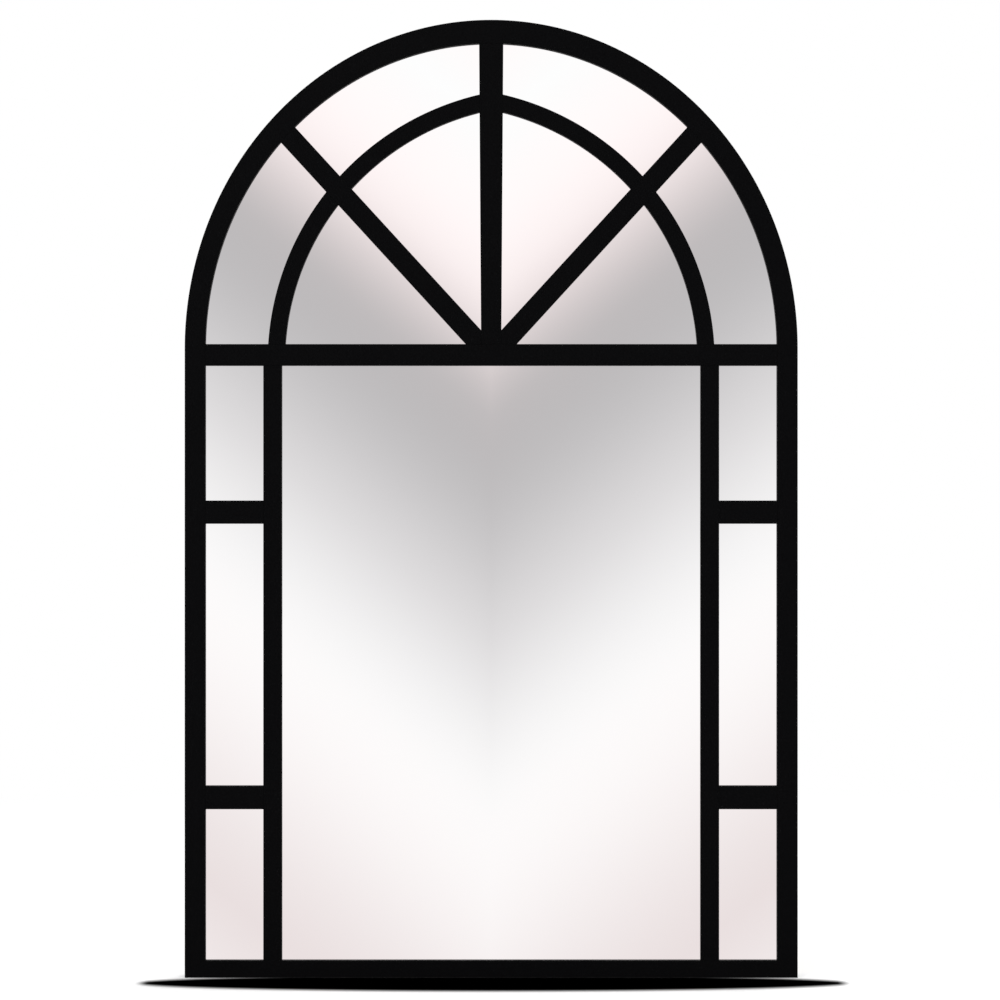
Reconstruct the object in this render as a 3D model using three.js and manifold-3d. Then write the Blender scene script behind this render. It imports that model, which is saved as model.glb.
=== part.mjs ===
// Arched window mirror: a black steel frame of window bars in front of one arched sheet of mirror glass.
//
// Millimetres, +Z up. The front faces -Y and the wall side faces +Y.
// The origin is on the base, midway between the sides and midway through the depth of the frame.

import * as THREE from "three";
import { mergeVertices } from "three/addons/utils/BufferGeometryUtils.js";
import Module from "manifold-3d";

const wasm = await Module();
wasm.setup();

// ---------------------------------------------------------------------------
// Driving dimensions
// ---------------------------------------------------------------------------

// Outer frame
const overallWidth = 711;
const overallHeight = 1111;
const frameDepth = 25;
const springingHeight = 730; // where the straight rails end and the elliptical arch begins
const railFaceWidth = 24;
const crownFaceWidth = 27.4; // the face of the rim broadens a little towards the crown
const bottomRailWidth = 20;
const faceThickness = 4; // the face of the rim and every window bar
const returnThickness = 3; // the wall that runs back from the outer edge of the face

// Window bars
const transomWidth = 25;
const transomDrop = 7.6; // from the springing down to the transom's centre line
const stileWidth = 21.5;
const sideLightWidth = 67.2; // clear width between a side rail and a stile
const crossBarWidth = 27;
const lowerLightHeight = 175.5; // clear height from the bottom rail to the lower cross bars
const upperLightHeight = 156.4; // clear height from the upper cross bars to the transom
const centreSpokeHubWidth = 23.4;
const centreSpokeCrownWidth = 28.4;
const sideSpokeWidth = 24;
const sideSpokeAngle = 47.5; // degrees above the horizontal
const hubDrop = 9.5; // from the springing down to where the centre lines of the spokes meet

// Muntin arch: two arcs of a circle that meet in a blunt point on the centre line
const muntinArchWidth = 20;
const muntinArchDrop = 15.2; // from the springing down to the centres of its arcs
const outerPaneWidth = 72.2; // clear width between the rim and the arch at the foot
const outerPaneHeight = 56.4; // clear height between the rim and the arch at the crown

// Glass and backing board
const glassThickness = 4;
const boardThickness = 5;
const sheetClearance = 3; // from the edge of the glass and the board to the rim's return
const settingBlockLength = 60;

// Fixing tabs: folded strips, welded inside the return, that hold the board down
const tabThickness = 2;
const tabReach = 18;
const tabHeight = 8;
const tabLength = 24;
const tabBendRadius = 1.5;
const tabTipRadius = 3.5; // the free corners of the foot
const tabScrewInset = 11; // from the return to the screw
const lowerTabHeight = 170; // above the base
const upperTabDrop = 260; // below the springing
const bottomTabOffset = 110;
const archTabAngles = [24, 66]; // degrees round the ellipse from the springing, on each side

// Pan-head screws through the tabs
const tabScrewHeadRadius = 3.5;
const tabScrewHeadHeight = 2.2;
const tabScrewHeadEdge = 0.8; // height of the head's rim, below its dome
const tabScrewShankRadius = 1.75;
const tabScrewLength = 6;
const tabScrewTipRadius = 0.8;
const tabScrewTipLength = 1.8;
const screwHoleClearance = 0.3; // all round a shank

// Hangers: a plate welded inside each side rail, and a strap whose eye holds a D-ring
const hangerPlateThickness = 2.5;
const hangerPlateReach = 58;
const hangerPlateLength = 62;
const hangerPlateHeight = 8.5;
const hangerPlateBendRadius = 2;
const hangerPlateTipRadius = 6;
const hangerInset = 40; // from the return to the middle of the strap
const ringAxisDrop = 50; // below the springing
const ringAxisBelowPlateTop = 8;
const strapThickness = 1.2;
const strapWidth = 14;
const strapLength = 42; // from the ring's axis to the end of the tail
const strapTailRadius = 5;
const strapMouthAngle = 110; // degrees below the horizontal at which the rolled eye ends
const strapScrewDistances = [23, 35]; // below the ring's axis
const strapScrewHeadRadius = 3.6;
const strapScrewHeadHeight = 2.4;
const strapScrewHeadEdge = 0.9;
const strapScrewShankRadius = 2;
const strapScrewTipRadius = 1.6;
const strapScrewTipLength = 0.4;

// D-ring: round wire, with its butt joint hidden in the eye
const ringWireRadius = 1.3;
const ringHalfWidth = 10.5; // to the centre of the wire
const ringDrop = 16.5; // from its axis to the centre of the wire at the bottom
const ringCornerRadius = 2.5;
const ringButtGap = 0.6;
const ringEyeClearance = 0.3;

// Clearances
const weldGap = 0.3; // between welded bars, filled by the weld
const seatGap = 0.3; // between pieces that rest on each other
const cutMargin = 1; // how far a cutting solid reaches past what it cuts

// Smoothness of the curves
const archDivisions = 40;
const muntinArchDivisions = 24;
const smallCurveDivisions = 4;
const roundSides = 14;
const ringWireSides = 10;
const ringSteps = 44;
const headDomeSteps = 4;

// ---------------------------------------------------------------------------
// Sizes worked out from them
// ---------------------------------------------------------------------------

const halfWidth = overallWidth / 2;
const archRise = overallHeight - springingHeight;
const frontLevel = frameDepth / 2;

// The clear opening inside the face of the rim
const openingHalfWidth = halfWidth - railFaceWidth;
const openingRise = archRise - crownFaceWidth;

// The inner side of the return
const wallHalfWidth = halfWidth - returnThickness;
const wallRise = archRise - returnThickness;

const transomTop = springingHeight - transomDrop + transomWidth / 2;
const transomBottom = transomTop - transomWidth;
const stileOuterEdge = openingHalfWidth - sideLightWidth;
const hubHeight = springingHeight - hubDrop;

// Each arc of the muntin arch is struck from beyond the centre line, so that it leaves its foot upright.
const muntinArchCentreHeight = springingHeight - muntinArchDrop;
const muntinArchFoot = openingHalfWidth - outerPaneWidth;
const muntinArchRise = springingHeight + openingRise - outerPaneHeight - muntinArchCentreHeight;
const muntinArchCentreOffset = (muntinArchRise ** 2 - muntinArchFoot ** 2) / (2 * muntinArchFoot);
const muntinArchRadius = muntinArchFoot + muntinArchCentreOffset; // to its outer edge

const ringAxisHeight = springingHeight - ringAxisDrop;

// Distances behind the front plane
const glassFront = faceThickness + seatGap;
const boardFront = glassFront + glassThickness + seatGap;
const boardBack = boardFront + boardThickness;

// ---------------------------------------------------------------------------
// Finishes
// ---------------------------------------------------------------------------

const blackPowderCoat = { color: 0x0a0a0b, roughness: 0.5, metalness: 0 };
const silveredGlass = { color: 0xeef1f0, roughness: 0.02, metalness: 1 };
const mediumDensityFibreboard = { color: 0x9a7b58, roughness: 0.85, metalness: 0 };
const blackRubber = { color: 0x1c1c1c, roughness: 0.8, metalness: 0 };
const zincPlate = { color: 0xc4c6c8, roughness: 0.35, metalness: 1 };

// ---------------------------------------------------------------------------
// Solids
// ---------------------------------------------------------------------------

// The frame is drawn in its own plane: x to the right, y up and z towards the front.
const drawingPlane = new THREE.Group();
drawingPlane.rotation.x = Math.PI / 2;

function addMesh(parent, name, geometry, finish) {
  const mesh = new THREE.Mesh(geometry, new THREE.MeshStandardMaterial(finish));
  mesh.name = name;
  parent.add(mesh);
  return mesh;
}

function solidOf(geometry) {
  const bare = geometry.clone();
  bare.deleteAttribute("normal");
  bare.deleteAttribute("uv");
  const merged = mergeVertices(bare);
  const vertProperties = merged.getAttribute("position").array;
  const triVerts = new Uint32Array(merged.index.array);
  return new wasm.Manifold(new wasm.Mesh({ numProp: 3, vertProperties, triVerts }));
}

function geometryOf(solid) {
  const { vertProperties, triVerts } = solid.getMesh();
  const indexed = new THREE.BufferGeometry();
  indexed.setAttribute("position", new THREE.BufferAttribute(vertProperties, 3));
  indexed.setIndex(new THREE.BufferAttribute(triVerts, 1));
  const faceted = indexed.toNonIndexed();
  faceted.computeVertexNormals();
  return faceted;
}

function addSolid(parent, name, solid, finish) {
  return addMesh(parent, name, geometryOf(solid), finish);
}

// A flat piece of the drawing plane, from one distance behind the front plane to a greater one.
function plate(outline, front, back, curveSegments = archDivisions) {
  const geometry = new THREE.ExtrudeGeometry(outline, {
    depth: back - front,
    curveSegments,
    bevelEnabled: false,
  });
  geometry.translate(0, 0, frontLevel - back);
  return solidOf(geometry);
}

function polygon(...corners) {
  return new THREE.Shape(corners.map(([x, y]) => new THREE.Vector2(x, y)));
}

function rectangle(left, right, bottom, top) {
  return polygon([left, bottom], [right, bottom], [right, top], [left, top]);
}

// Straight sides up to the springing line, and half an ellipse on top of them.
function archedOutline(halfSpan, bottom, rise) {
  const outline = new THREE.Shape();
  outline.moveTo(-halfSpan, bottom);
  outline.lineTo(halfSpan, bottom);
  outline.lineTo(halfSpan, springingHeight);
  outline.absellipse(0, springingHeight, halfSpan, rise, 0, Math.PI, false);
  outline.lineTo(-halfSpan, bottom);
  return outline;
}

// A round bar along z, centred on a point, for drilling.
function drill(x, y, z, radius, length) {
  const geometry = new THREE.CylinderGeometry(radius, radius, length, roundSides);
  geometry.rotateX(Math.PI / 2);
  geometry.translate(x, y, z);
  return solidOf(geometry);
}

// ---------------------------------------------------------------------------
// Outer frame: one L-section all round, sawn into an arch, two side rails and a bottom rail
// ---------------------------------------------------------------------------

function rimSection() {
  const outer = archedOutline(halfWidth, 0, archRise);
  const opening = archedOutline(openingHalfWidth, bottomRailWidth, openingRise);
  const wall = archedOutline(wallHalfWidth, returnThickness, wallRise);
  const face = plate(outer, 0, faceThickness).subtract(plate(opening, -cutMargin, faceThickness + cutMargin));
  const returnWall = plate(outer, 0, frameDepth).subtract(plate(wall, -cutMargin, frameDepth + cutMargin));
  return face.add(returnWall);
}

function sawnPiece(rim, region) {
  return rim.intersect(plate(region, -cutMargin, frameDepth + cutMargin));
}

function addOuterFrame() {
  const rim = rimSection();
  const beyond = halfWidth + cutMargin;
  const archFoot = springingHeight + weldGap / 2;
  const railTop = springingHeight - weldGap / 2;
  // The mitre runs from the outer corner of the frame to the corner of the opening.
  const mitreSlope = bottomRailWidth / railFaceWidth;
  const mitreShift = (weldGap / 2) * Math.hypot(1, mitreSlope);
  const mitreAt = (distance) => mitreSlope * (halfWidth - distance);

  const archRegion = rectangle(-beyond, beyond, archFoot, overallHeight + cutMargin);
  addSolid(drawingPlane, "rim_arch", sawnPiece(rim, archRegion), blackPowderCoat);

  for (const [name, side] of [["left_side_rail", -1], ["right_side_rail", 1]]) {
    const region = polygon(
      [side * beyond, mitreAt(beyond) + mitreShift],
      [side * beyond, railTop],
      [0, railTop],
      [0, mitreAt(0) + mitreShift],
    );
    addSolid(drawingPlane, name, sawnPiece(rim, region), blackPowderCoat);
  }

  const bottomRegion = polygon(
    [-beyond, mitreAt(beyond) - mitreShift],
    [beyond, mitreAt(beyond) - mitreShift],
    [0, mitreAt(0) - mitreShift],
  );
  addSolid(drawingPlane, "bottom_rail", sawnPiece(rim, bottomRegion), blackPowderCoat);
}

// ---------------------------------------------------------------------------
// Window bars: flat steel in the plane of the rim's face, each cut to the edge of what it meets
// ---------------------------------------------------------------------------

const bar = (outline) => plate(outline, 0, faceThickness, muntinArchDivisions);

// The opening of the rim, less a weld gap all round.
const barField = plate(
  archedOutline(openingHalfWidth - weldGap, bottomRailWidth + weldGap, openingRise - weldGap),
  -cutMargin,
  faceThickness + cutMargin,
);

function addStraightBars() {
  const transom = bar(rectangle(-halfWidth, halfWidth, transomBottom, transomTop));
  addSolid(drawingPlane, "transom_bar", transom.intersect(barField), blackPowderCoat);

  const crossBarFeet = {
    lower: bottomRailWidth + lowerLightHeight,
    upper: transomBottom - upperLightHeight - crossBarWidth,
  };
  for (const [sideName, side] of [["left", -1], ["right", 1]]) {
    const left = side < 0 ? -stileOuterEdge : stileOuterEdge - stileWidth;
    const stile = bar(rectangle(left, left + stileWidth, 0, transomBottom - weldGap));
    addSolid(drawingPlane, `${sideName}_stile`, stile.intersect(barField), blackPowderCoat);

    const start = stileOuterEdge + weldGap;
    const ends = side < 0 ? [-halfWidth, -start] : [start, halfWidth];
    for (const [level, foot] of Object.entries(crossBarFeet)) {
      const crossBar = bar(rectangle(...ends, foot, foot + crossBarWidth)).intersect(barField);
      addSolid(drawingPlane, `${sideName}_${level}_cross_bar`, crossBar, blackPowderCoat);
    }
  }
}

// A straight band through the hub, between two distances to the left of its direction.
function bandThroughHub(degrees, from, to) {
  const reach = overallWidth;
  const angle = THREE.MathUtils.degToRad(degrees);
  const corner = (along, across) => [
    along * Math.cos(angle) - across * Math.sin(angle),
    hubHeight + along * Math.sin(angle) + across * Math.cos(angle),
  ];
  return polygon(corner(-reach, from), corner(reach, from), corner(reach, to), corner(-reach, to));
}

// The centre spoke's outline, grown sideways: it tapers from the crown to the hub.
function centreSpokeOutline(growth) {
  const hubHalf = centreSpokeHubWidth / 2 + growth;
  const crownHalf = centreSpokeCrownWidth / 2 + growth;
  return polygon(
    [-hubHalf, transomTop],
    [hubHalf, transomTop],
    [crownHalf, overallHeight],
    [-crownHalf, overallHeight],
  );
}

// One side of the muntin arch, carried past the transom and past the point of the arch.
function muntinArchOutline(side) {
  const centreX = -side * muntinArchCentreOffset;
  const innerRadius = muntinArchRadius - muntinArchWidth;
  const foot = side > 0 ? 0 : Math.PI;
  const pastThePoint = Math.PI / 2 + side * (Math.PI / 4);
  const clockwise = side < 0;
  const outline = new THREE.Shape();
  outline.absarc(centreX, muntinArchCentreHeight, muntinArchRadius, foot, pastThePoint, clockwise);
  outline.absarc(centreX, muntinArchCentreHeight, innerRadius, pastThePoint, foot, !clockwise);
  outline.closePath();
  return outline;
}

function addFan() {
  const aboveTransom = bar(rectangle(-halfWidth, halfWidth, transomTop + weldGap, overallHeight));
  const fanField = barField.intersect(aboveTransom);

  const centreSpoke = bar(centreSpokeOutline(0)).intersect(fanField);
  addSolid(drawingPlane, "centre_spoke", centreSpoke, blackPowderCoat);

  const centreSpokeRoom = bar(centreSpokeOutline(weldGap));
  const halfSpoke = sideSpokeWidth / 2;
  const farAcross = overallWidth;

  for (const [sideName, side] of [["left", -1], ["right", 1]]) {
    const degrees = side < 0 ? 180 - sideSpokeAngle : sideSpokeAngle;
    const sideField = fanField
      .intersect(bar(rectangle(...(side < 0 ? [-halfWidth, 0] : [0, halfWidth]), 0, overallHeight)))
      .subtract(centreSpokeRoom);

    const spoke = bar(bandThroughHub(degrees, -halfSpoke, halfSpoke)).intersect(sideField);
    addSolid(drawingPlane, `${sideName}_spoke`, spoke, blackPowderCoat);

    const arch = bar(muntinArchOutline(side)).intersect(sideField);
    const clearOfSpoke = halfSpoke + weldGap;
    const belowSpoke = bar(bandThroughHub(degrees, ...sorted(-side * clearOfSpoke, -side * farAcross)));
    const aboveSpoke = bar(bandThroughHub(degrees, ...sorted(side * clearOfSpoke, side * farAcross)));
    addSolid(drawingPlane, `${sideName}_lower_muntin_arch`, arch.intersect(belowSpoke), blackPowderCoat);
    addSolid(drawingPlane, `${sideName}_upper_muntin_arch`, arch.intersect(aboveSpoke), blackPowderCoat);
  }
}

function sorted(a, b) {
  return a < b ? [a, b] : [b, a];
}

// ---------------------------------------------------------------------------
// Fixing tabs: where they stand on the inner side of the return, and which way is inwards
// ---------------------------------------------------------------------------

function tabPlaces() {
  const places = [];
  const archPlace = (degrees, side) => {
    const angle = THREE.MathUtils.degToRad(degrees);
    const x = side * wallHalfWidth * Math.cos(angle);
    const y = springingHeight + wallRise * Math.sin(angle);
    const inwards = Math.atan2(-Math.sin(angle) / wallRise, (-side * Math.cos(angle)) / wallHalfWidth);
    return { x, y, inwards };
  };
  for (const side of [-1, 1]) {
    const inwards = side < 0 ? 0 : Math.PI;
    places.push({ x: side * bottomTabOffset, y: returnThickness, inwards: Math.PI / 2 });
    places.push({ x: side * wallHalfWidth, y: lowerTabHeight, inwards });
    places.push({ x: side * wallHalfWidth, y: springingHeight - upperTabDrop, inwards });
    for (const degrees of archTabAngles) {
      places.push(archPlace(degrees, side));
    }
  }
  return places;
}

// The outline of a folded strip on the board: its two corners away from the return are rounded.
function stripOutline(reach, length, tipRadius) {
  const half = length / 2;
  const outline = new THREE.Shape();
  outline.moveTo(0, -half);
  outline.absarc(reach - tipRadius, -half + tipRadius, tipRadius, -Math.PI / 2, 0, false);
  outline.absarc(reach - tipRadius, half - tipRadius, tipRadius, 0, Math.PI / 2, false);
  outline.lineTo(0, half);
  outline.closePath();
  return outline;
}

// A strip folded once: a leg that stands against the return and a foot that lies on the board.
// Here x points inwards from the return, y runs along it and z points to the front.
function foldedStrip(reach, height, thickness, bendRadius, length, tipRadius) {
  const outerBend = bendRadius + thickness;
  const inner = seatGap + thickness;
  const profile = new THREE.Shape();
  profile.moveTo(seatGap + outerBend, seatGap);
  profile.lineTo(reach, seatGap);
  profile.lineTo(reach, inner);
  profile.lineTo(inner + bendRadius, inner);
  profile.absarc(inner + bendRadius, inner + bendRadius, bendRadius, -Math.PI / 2, -Math.PI, true);
  profile.lineTo(inner, height);
  profile.lineTo(seatGap, height);
  profile.lineTo(seatGap, seatGap + outerBend);
  profile.absarc(seatGap + outerBend, seatGap + outerBend, outerBend, Math.PI, Math.PI * 1.5, false);
  const folded = new THREE.ExtrudeGeometry(profile, {
    depth: length,
    curveSegments: smallCurveDivisions,
    bevelEnabled: false,
  });
  folded.translate(0, 0, -length / 2);
  folded.rotateX(-Math.PI / 2);

  const throughStrip = 2 * (height + cutMargin);
  const rounded = new THREE.ExtrudeGeometry(stripOutline(reach, length, tipRadius), {
    depth: throughStrip,
    curveSegments: smallCurveDivisions,
    bevelEnabled: false,
  });
  rounded.translate(0, 0, -throughStrip / 2);
  return solidOf(folded).intersect(solidOf(rounded));
}

// A pan-head screw along z: the shank points to the front and the head to the back, seated at z = 0.
function panScrew({ headRadius, headHeight, headEdge, shankRadius, length, tipRadius, tipLength }) {
  const profile = [
    new THREE.Vector2(0, -length),
    new THREE.Vector2(tipRadius, -length),
    new THREE.Vector2(shankRadius, tipLength - length),
    new THREE.Vector2(shankRadius, 0),
    new THREE.Vector2(headRadius, 0),
  ];
  for (let step = 0; step < headDomeSteps; step += 1) {
    const angle = ((Math.PI / 2) * step) / headDomeSteps;
    const height = headEdge + (headHeight - headEdge) * Math.sin(angle);
    profile.push(new THREE.Vector2(headRadius * Math.cos(angle), height));
  }
  profile.push(new THREE.Vector2(0, headHeight));
  const geometry = new THREE.LatheGeometry(profile, roundSides);
  geometry.rotateX(-Math.PI / 2);
  return geometry;
}

function addFixingTabs() {
  const hole = drill(tabScrewInset, 0, 0, tabScrewShankRadius + screwHoleClearance, tabHeight);
  const blank = foldedStrip(tabReach, tabHeight, tabThickness, tabBendRadius, tabLength, tabTipRadius);
  const tabGeometry = geometryOf(blank.subtract(hole));
  const screwGeometry = panScrew({
    headRadius: tabScrewHeadRadius,
    headHeight: tabScrewHeadHeight,
    headEdge: tabScrewHeadEdge,
    shankRadius: tabScrewShankRadius,
    length: tabScrewLength,
    tipRadius: tabScrewTipRadius,
    tipLength: tabScrewTipLength,
  });
  // On the arch a straight leg bridges the hollow of the return by this much.
  const sag = tabLength ** 2 / 8 / wallHalfWidth;

  tabPlaces().forEach(({ x, y, inwards }, index) => {
    const tabGroup = new THREE.Group();
    const setIn = y > springingHeight ? sag : 0;
    tabGroup.position.set(
      x + setIn * Math.cos(inwards),
      y + setIn * Math.sin(inwards),
      frontLevel - boardBack,
    );
    tabGroup.rotation.z = inwards;
    drawingPlane.add(tabGroup);
    addMesh(tabGroup, `fixing_tab_${index + 1}`, tabGeometry, blackPowderCoat);
    const screw = addMesh(tabGroup, `tab_screw_${index + 1}`, screwGeometry, zincPlate);
    screw.position.set(tabScrewInset, 0, -(seatGap + tabThickness + seatGap));
  });
}

// ---------------------------------------------------------------------------
// Mirror glass, backing board and the blocks they stand on
// ---------------------------------------------------------------------------

function addSheets() {
  const outline = archedOutline(
    wallHalfWidth - sheetClearance,
    returnThickness + sheetClearance,
    wallRise - sheetClearance,
  );
  const glass = plate(outline, glassFront, glassFront + glassThickness);
  addSolid(drawingPlane, "mirror_glass", glass, silveredGlass);

  const screwEnd = tabScrewLength - tabThickness - 2 * seatGap;
  let board = plate(outline, boardFront, boardBack);
  for (const { x, y, inwards } of tabPlaces()) {
    const pilot = drill(
      x + tabScrewInset * Math.cos(inwards),
      y + tabScrewInset * Math.sin(inwards),
      frontLevel - boardBack,
      tabScrewShankRadius + screwHoleClearance,
      2 * (screwEnd + screwHoleClearance),
    );
    board = board.subtract(pilot);
  }
  addSolid(drawingPlane, "backing_board", board, mediumDensityFibreboard);

  // The blocks stand at the quarter points of the glass.
  const blockOffset = (wallHalfWidth - sheetClearance) / 2;
  const blockThickness = sheetClearance - 2 * seatGap;
  const stackDepth = boardBack - glassFront;
  for (const [name, side] of [["left_setting_block", -1], ["right_setting_block", 1]]) {
    const geometry = new THREE.BoxGeometry(settingBlockLength, blockThickness, stackDepth);
    const block = addMesh(drawingPlane, name, geometry, blackRubber);
    block.position.set(
      side * blockOffset,
      returnThickness + sheetClearance / 2,
      frontLevel - (glassFront + boardBack) / 2,
    );
  }
}

// ---------------------------------------------------------------------------
// Hangers
// ---------------------------------------------------------------------------

const plateFaceDepth = boardBack + seatGap + hangerPlateThickness;
const eyeOuterRadius = ringWireRadius + ringEyeClearance + strapThickness;

// The strap from its side: the tail lies on the plate and the top is rolled round the ring's axis.
function strapProfile() {
  const eyeInnerRadius = eyeOuterRadius - strapThickness;
  const axis = seatGap + eyeOuterRadius;
  const mouth = THREE.MathUtils.degToRad(-strapMouthAngle);
  const profile = new THREE.Shape();
  profile.moveTo(seatGap, -strapLength);
  profile.lineTo(seatGap, 0);
  profile.absarc(axis, 0, eyeOuterRadius, Math.PI, mouth, true);
  profile.absarc(axis, 0, eyeInnerRadius, mouth, Math.PI, false);
  profile.lineTo(seatGap + strapThickness, -strapLength);
  profile.closePath();
  return profile;
}

// The strap from the front, with its rounded tail.
function strapOutline() {
  const half = strapWidth / 2;
  const radius = strapTailRadius;
  const outline = new THREE.Shape();
  outline.moveTo(half, eyeOuterRadius + cutMargin);
  outline.lineTo(-half, eyeOuterRadius + cutMargin);
  outline.lineTo(-half, -strapLength + radius);
  outline.absarc(-half + radius, -strapLength + radius, radius, Math.PI, Math.PI * 1.5, false);
  outline.absarc(half - radius, -strapLength + radius, radius, -Math.PI / 2, 0, false);
  outline.closePath();
  return outline;
}

// Here x is to the right, y is up from the ring's axis and z is to the front from the plate's face.
function ringStrap() {
  const rolled = new THREE.ExtrudeGeometry(strapProfile(), {
    depth: strapWidth,
    curveSegments: 2 * smallCurveDivisions,
    bevelEnabled: false,
  });
  rolled.translate(0, 0, -strapWidth / 2);
  rolled.rotateY(Math.PI / 2);
  const throughEye = 2 * (seatGap + 2 * eyeOuterRadius + cutMargin);
  const rounded = new THREE.ExtrudeGeometry(strapOutline(), {
    depth: throughEye,
    curveSegments: smallCurveDivisions,
    bevelEnabled: false,
  });
  rounded.translate(0, 0, -throughEye / 2);
  let strap = solidOf(rolled).intersect(solidOf(rounded));
  for (const distance of strapScrewDistances) {
    const radius = strapScrewShankRadius + screwHoleClearance;
    strap = strap.subtract(drill(0, -distance, 0, radius, throughEye));
  }
  return strap;
}

// The centre line of the D-ring, from one side of its butt joint round to the other.
class RingCentreLine extends THREE.Curve {
  constructor() {
    super();
    const straight = ringHalfWidth - ringCornerRadius;
    const bowl = ringDrop - ringHalfWidth;
    const right = Math.PI / 2;
    this.path = new THREE.Path();
    this.path.moveTo(ringButtGap / 2, 0);
    this.path.lineTo(straight, 0);
    this.path.absarc(straight, -ringCornerRadius, ringCornerRadius, right, 0, true);
    this.path.absarc(0, -bowl, ringHalfWidth, 0, -Math.PI, true);
    this.path.absarc(-straight, -ringCornerRadius, ringCornerRadius, Math.PI, right, true);
    this.path.lineTo(-ringButtGap / 2, 0);
  }

  getPoint(t) {
    const { x, y } = this.path.getPointAt(t);
    return new THREE.Vector3(x, y, 0);
  }
}

function dRing() {
  const section = new THREE.Shape();
  section.absarc(0, 0, ringWireRadius, 0, 2 * Math.PI, false);
  return new THREE.ExtrudeGeometry(section, {
    steps: ringSteps,
    curveSegments: ringWireSides / 2,
    extrudePath: new RingCentreLine(),
  });
}

function addHanger(sideName, side) {
  const plateCentreHeight = ringAxisHeight + ringAxisBelowPlateTop - hangerPlateLength / 2;
  const plateGroup = new THREE.Group();
  plateGroup.position.set(side * wallHalfWidth, plateCentreHeight, frontLevel - boardBack);
  plateGroup.rotation.z = side < 0 ? 0 : Math.PI;
  drawingPlane.add(plateGroup);

  let hangerPlate = foldedStrip(
    hangerPlateReach,
    hangerPlateHeight,
    hangerPlateThickness,
    hangerPlateBendRadius,
    hangerPlateLength,
    hangerPlateTipRadius,
  );
  const upFromCentre = side < 0 ? 1 : -1;
  for (const distance of strapScrewDistances) {
    const y = upFromCentre * (ringAxisHeight - distance - plateCentreHeight);
    const radius = strapScrewShankRadius + screwHoleClearance;
    hangerPlate = hangerPlate.subtract(drill(hangerInset, y, 0, radius, hangerPlateHeight));
  }
  addSolid(plateGroup, `${sideName}_hanger_plate`, hangerPlate, blackPowderCoat);

  const hanger = new THREE.Group();
  hanger.position.set(side * (wallHalfWidth - hangerInset), ringAxisHeight, frontLevel - plateFaceDepth);
  drawingPlane.add(hanger);
  addSolid(hanger, `${sideName}_ring_strap`, ringStrap(), zincPlate);

  const ring = addMesh(hanger, `${sideName}_d_ring`, dRing(), zincPlate);
  ring.position.z = -(seatGap + eyeOuterRadius);

  const underHead = seatGap + strapThickness + seatGap;
  strapScrewDistances.forEach((distance, index) => {
    const geometry = panScrew({
      headRadius: strapScrewHeadRadius,
      headHeight: strapScrewHeadHeight,
      headEdge: strapScrewHeadEdge,
      shankRadius: strapScrewShankRadius,
      length: underHead + hangerPlateThickness - seatGap,
      tipRadius: strapScrewTipRadius,
      tipLength: strapScrewTipLength,
    });
    const screw = addMesh(hanger, `${sideName}_strap_screw_${index + 1}`, geometry, zincPlate);
    screw.position.set(0, -distance, -underHead);
  });
}

// ---------------------------------------------------------------------------
// The mirror
// ---------------------------------------------------------------------------

addOuterFrame();
addStraightBars();
addFan();
addSheets();
addFixingTabs();
addHanger("left", -1);
addHanger("right", 1);

const mirror = new THREE.Group();
mirror.add(drawingPlane);

export default mirror;
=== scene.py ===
# The look of the arched window mirror: a powder-coated steel window frame before one sheet of mirror glass.
#
# Metres, +Z up. The front faces -Y, the wall side +Y. A depth is a distance behind the front plane.

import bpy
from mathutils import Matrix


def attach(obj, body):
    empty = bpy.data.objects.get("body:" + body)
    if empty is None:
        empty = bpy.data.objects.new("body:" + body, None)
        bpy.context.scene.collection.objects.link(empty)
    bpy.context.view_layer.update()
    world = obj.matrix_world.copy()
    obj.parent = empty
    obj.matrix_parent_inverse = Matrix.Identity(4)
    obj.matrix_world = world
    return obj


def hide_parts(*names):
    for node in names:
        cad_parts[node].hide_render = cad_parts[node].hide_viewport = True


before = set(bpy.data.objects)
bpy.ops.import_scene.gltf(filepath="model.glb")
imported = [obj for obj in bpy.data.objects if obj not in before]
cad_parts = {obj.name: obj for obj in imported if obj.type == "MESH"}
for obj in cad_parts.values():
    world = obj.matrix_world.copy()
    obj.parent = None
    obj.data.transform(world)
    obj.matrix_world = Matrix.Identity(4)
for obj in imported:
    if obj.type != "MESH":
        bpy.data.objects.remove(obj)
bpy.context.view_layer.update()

import math
from types import SimpleNamespace

import bmesh
import bpy
from bpy.props import FloatProperty, FloatVectorProperty, PointerProperty
from mathutils import Matrix, Vector

bl_info = {
    "name": "Arched window mirror",
    "version": (1, 0, 0),
    "blender": (4, 5, 0),
    "location": "3D View > Sidebar > Arched Mirror",
    "description": "Builds a black arched window mirror round its packed frame",
    "category": "Object",
}

BODY = "mirror"
SIDES = (("left", -1), ("right", 1))
QUARTER = math.pi / 2
SHARP = math.radians(40)
ACROSS, UPWARDS = Vector((1, 0, 0)), Vector((0, 0, 1))
FORWARDS, REARWARDS = Vector((0, -1, 0)), Vector((0, 1, 0))
MILLIMETRE = 0.001

# Two corners of an outline nearer than this are one corner.
SAME_CORNER = 0.02 * MILLIMETRE

# Radius and fineness of the weld beads, which show only behind the frame.
RIM_BEAD = 1.3 * MILLIMETRE
TAB_BEAD = 1.1 * MILLIMETRE
RIPPLE = 1.5 * MILLIMETRE


# ---------------------------------------------------------------------------
# Sizes and colours that a user would change
# ---------------------------------------------------------------------------


def linear(hex_colour):
    """An sRGB hex colour as linear red, green and blue."""
    channels = [int(hex_colour[start:start + 2], 16) / 255 for start in (1, 3, 5)]
    return tuple(c / 12.92 if c <= 0.04045 else ((c + 0.055) / 1.055) ** 2.4 for c in channels)


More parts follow.
